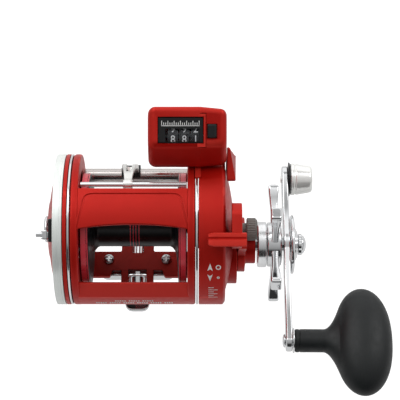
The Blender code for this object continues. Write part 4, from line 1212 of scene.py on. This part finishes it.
def numeral(text, x, turn, centre):
    """A numeral wrapped onto the wheel; its top points away from the viewer's edge of the window."""
    curve = bpy.data.curves.new(f"digit_{text}", "FONT")
    curve.body, curve.size = text, NUMERAL_H * 1.36
    curve.align_x, curve.align_y = "CENTER", "CENTER"
    curve.offset = 0.02
    curve.resolution_u = 5
    holder = bpy.data.objects.new("digit", curve)
    bpy.context.scene.collection.objects.link(holder)
    graph = bpy.context.evaluated_depsgraph_get()
    mesh = bpy.data.meshes.new_from_object(holder.evaluated_get(graph))
    bpy.data.objects.remove(holder, do_unlink=True)
    bm = bmesh.new()
    bm.from_mesh(mesh)
    sliced(bm, [NUMERAL_H * (i / 8 - 0.5) * 1.2 for i in range(1, 8)])
    lifted = set(lift(bm))
    for vert in bm.verts:
        radius = WHEEL_R if vert in lifted else WHEEL_R - 0.3
        angle = turn - math.degrees(vert.co.y / WHEEL_R)
        vert.co = (x + vert.co.x * 0.9, *around(radius, angle, centre))
    return to_object(bm, f"digit_{text}_{x}", DIGIT_WHITE)


def gear_cover():
    """The raised cover over the counter's gears, on the housing's outer side."""
    lean = math.degrees(TILT)
    outline = [tilted(22.2, 22.0), tilted(37.6, 22.0), tilted(37.6, 14.0)][::-1]
    outline += arc(27.6, lean + 36.0, lean - 36.0, 20) + arc(35.4, lean - 36.0, lean + 18.0, 16)
    base = 42.5
    cover = slab("gear_cover_shell", soft(outline, 1.2, 4), (base, 46.4), RED)
    for vert in cover.data.vertices:
        ahead = (vert.co.y * math.cos(TILT) + (vert.co.z - SPOOL_AXIS[1] * MM) * math.sin(TILT)) / MM
        swell = min(1.0, max(0.25, (38.5 - ahead) / 4.5))
        vert.co.x = (base + (vert.co.x / MM - base) * swell) * MM
    round_edges(cover, 1.2, 5, 50.0)
    finished(cover, "counter_gear_cover")


def counter():
    counter_shell()
    face_plate()
    pane = deck_plate("counter_pane", (15.1, 29.6), (39.9, 45.1), (33.83, 34.37), CLEAR, 0.25, 0.1)
    finished(pane, "counter_window")
    for name, x in WHEELS.items():
        digit_wheel(name, x)
    button = deck_plate("reset_key", (33.6, 37.5), (41.35, 47.25), (32.75, 36.25), BLACK, 0.6, 0.45)
    finished(button, "reset_button")
    gear_cover()


frame_and_foot()
left_side()
right_side()
handle()
level_wind()
spool()
counter()


# ---- stage ----


def camera():
    """Looks forward and down at 62 degrees from behind the reel."""
    data = bpy.data.cameras.new("camera")
    data.sensor_width, data.lens = 36.0, 144.6
    data.clip_end = 20.0
    obj = bpy.data.objects.new("camera", data)
    bpy.context.scene.collection.objects.link(obj)
    ahead = Vector((0.0, math.sin(TILT), -math.cos(TILT)))
    up = Vector((0.0, math.cos(TILT), math.sin(TILT)))
    right = Vector((1.0, 0.0, 0.0))
    turn = Matrix((right, up, -ahead)).transposed().to_4x4()
    obj.matrix_world = Matrix.Translation(Vector((30.2, -339.9, 710.3)) * MM) @ turn
    bpy.context.scene.camera = obj


def area_light(name, place, target, size, power):
    data = bpy.data.lights.new(name, "AREA")
    data.shape, data.size, data.size_y = "RECTANGLE", *size
    data.energy = power
    obj = bpy.data.objects.new(name, data)
    bpy.context.scene.collection.objects.link(obj)
    obj.location = place
    obj.rotation_euler = (Vector(target) - Vector(place)).to_track_quat("-Z", "Y").to_euler()


def floor():
    """A white floor that throws little light back up, as if grey card lay round the reel."""
    size, depth = 3.0, -0.055
    bm = bmesh.new()
    bmesh.ops.create_grid(bm, x_segments=2, y_segments=2, size=size / MM)
    white = (1.0, 1.0, 1.0, 1.0)
    paper = Finish("floor_paper", (0.5, 0.5, 0.5), 0.9, 0.0, Emission_Color=white, Emission_Strength=0.74)
    paper.bump(paper.noise(600.0), 0.02, 0.02)
    card = paper.node("ShaderNodeBsdfDiffuse", {"Color": (0.3, 0.3, 0.3, 1.0)}).outputs[0]
    rays = paper.node("ShaderNodeLightPath").outputs
    mirrored = math_node(paper.tree, "MULTIPLY", rays["Is Glossy Ray"], 0.5)
    bounced = math_node(paper.tree, "MAXIMUM", rays["Is Diffuse Ray"], mirrored)
    both = paper.node("ShaderNodeMixShader", {0: bounced, 1: paper.shader.outputs[0], 2: card}).outputs[0]
    paper.tree.links.new(both, paper.tree.nodes["Material Output"].inputs["Surface"])
    obj = to_object(bm, "floor", paper.made)
    obj.location.z = depth


def world():
    """A white studio with a dark side behind the camera, which gives polished metal its dark bands."""
    made = bpy.data.worlds.new("studio")
    made.use_nodes = True
    tree = made.node_tree
    place = new_node(tree, "ShaderNodeTexCoord").outputs["Generated"]
    x, y, z = new_node(tree, "ShaderNodeSeparateXYZ", {0: place}).outputs
    up, back = math_node(tree, "MAXIMUM", z, 0.0), math_node(tree, "MULTIPLY", y, -1.0)
    height = math_node(tree, "DIVIDE", math_node(tree, "ARCTAN2", up, back), math.pi)
    ramp = new_node(tree, "ShaderNodeValToRGB", {0: height})
    stops = ((0.0, 0.03), (0.17, 0.04), (0.24, 0.36), (0.44, 0.6), (0.53, 1.15), (0.59, 1.15))
    stops += ((0.64, 0.5), (0.7, 0.45), (0.76, 1.2), (1.0, 1.2))
    ramp.color_ramp.elements[0].color = (stops[0][1],) * 3 + (1.0,)
    ramp.color_ramp.elements[1].color = (stops[-1][1],) * 3 + (1.0,)
    for place, value in stops[1:-1]:
        ramp.color_ramp.elements.new(place).color = (value,) * 3 + (1.0,)
    sideways = {"Value": math_node(tree, "ABSOLUTE", x), "From Min": 0.5, "From Max": 0.9}
    aside = new_node(tree, "ShaderNodeMapRange", sideways).outputs[0]
    seen = new_node(tree, "ShaderNodeLightPath").outputs["Is Camera Ray"]
    shown = ramp.outputs["Color"]
    for factor, level in ((aside, 0.45), (seen, 1.06)):
        mixed = {"Fac": factor, "Color1": shown, "Color2": (level, level, level, 1.0)}
        shown = new_node(tree, "ShaderNodeMixRGB", mixed).outputs[0]
    background = tree.nodes["Background"].inputs
    tree.links.new(shown, background["Color"])
    background["Strength"].default_value = 0.95
    bpy.context.scene.world = made


bpy.context.scene.view_settings.view_transform = "Standard"
camera()
world()
floor()
area_light("key_light", (-0.5, 0.35, 1.0), (0.0, 0.0, 0.04), (1.0, 0.8), 4.4)
area_light("fill_light", (0.8, 0.3, 0.8), (0.0, 0.0, 0.04), (0.5, 0.7), 2.8)
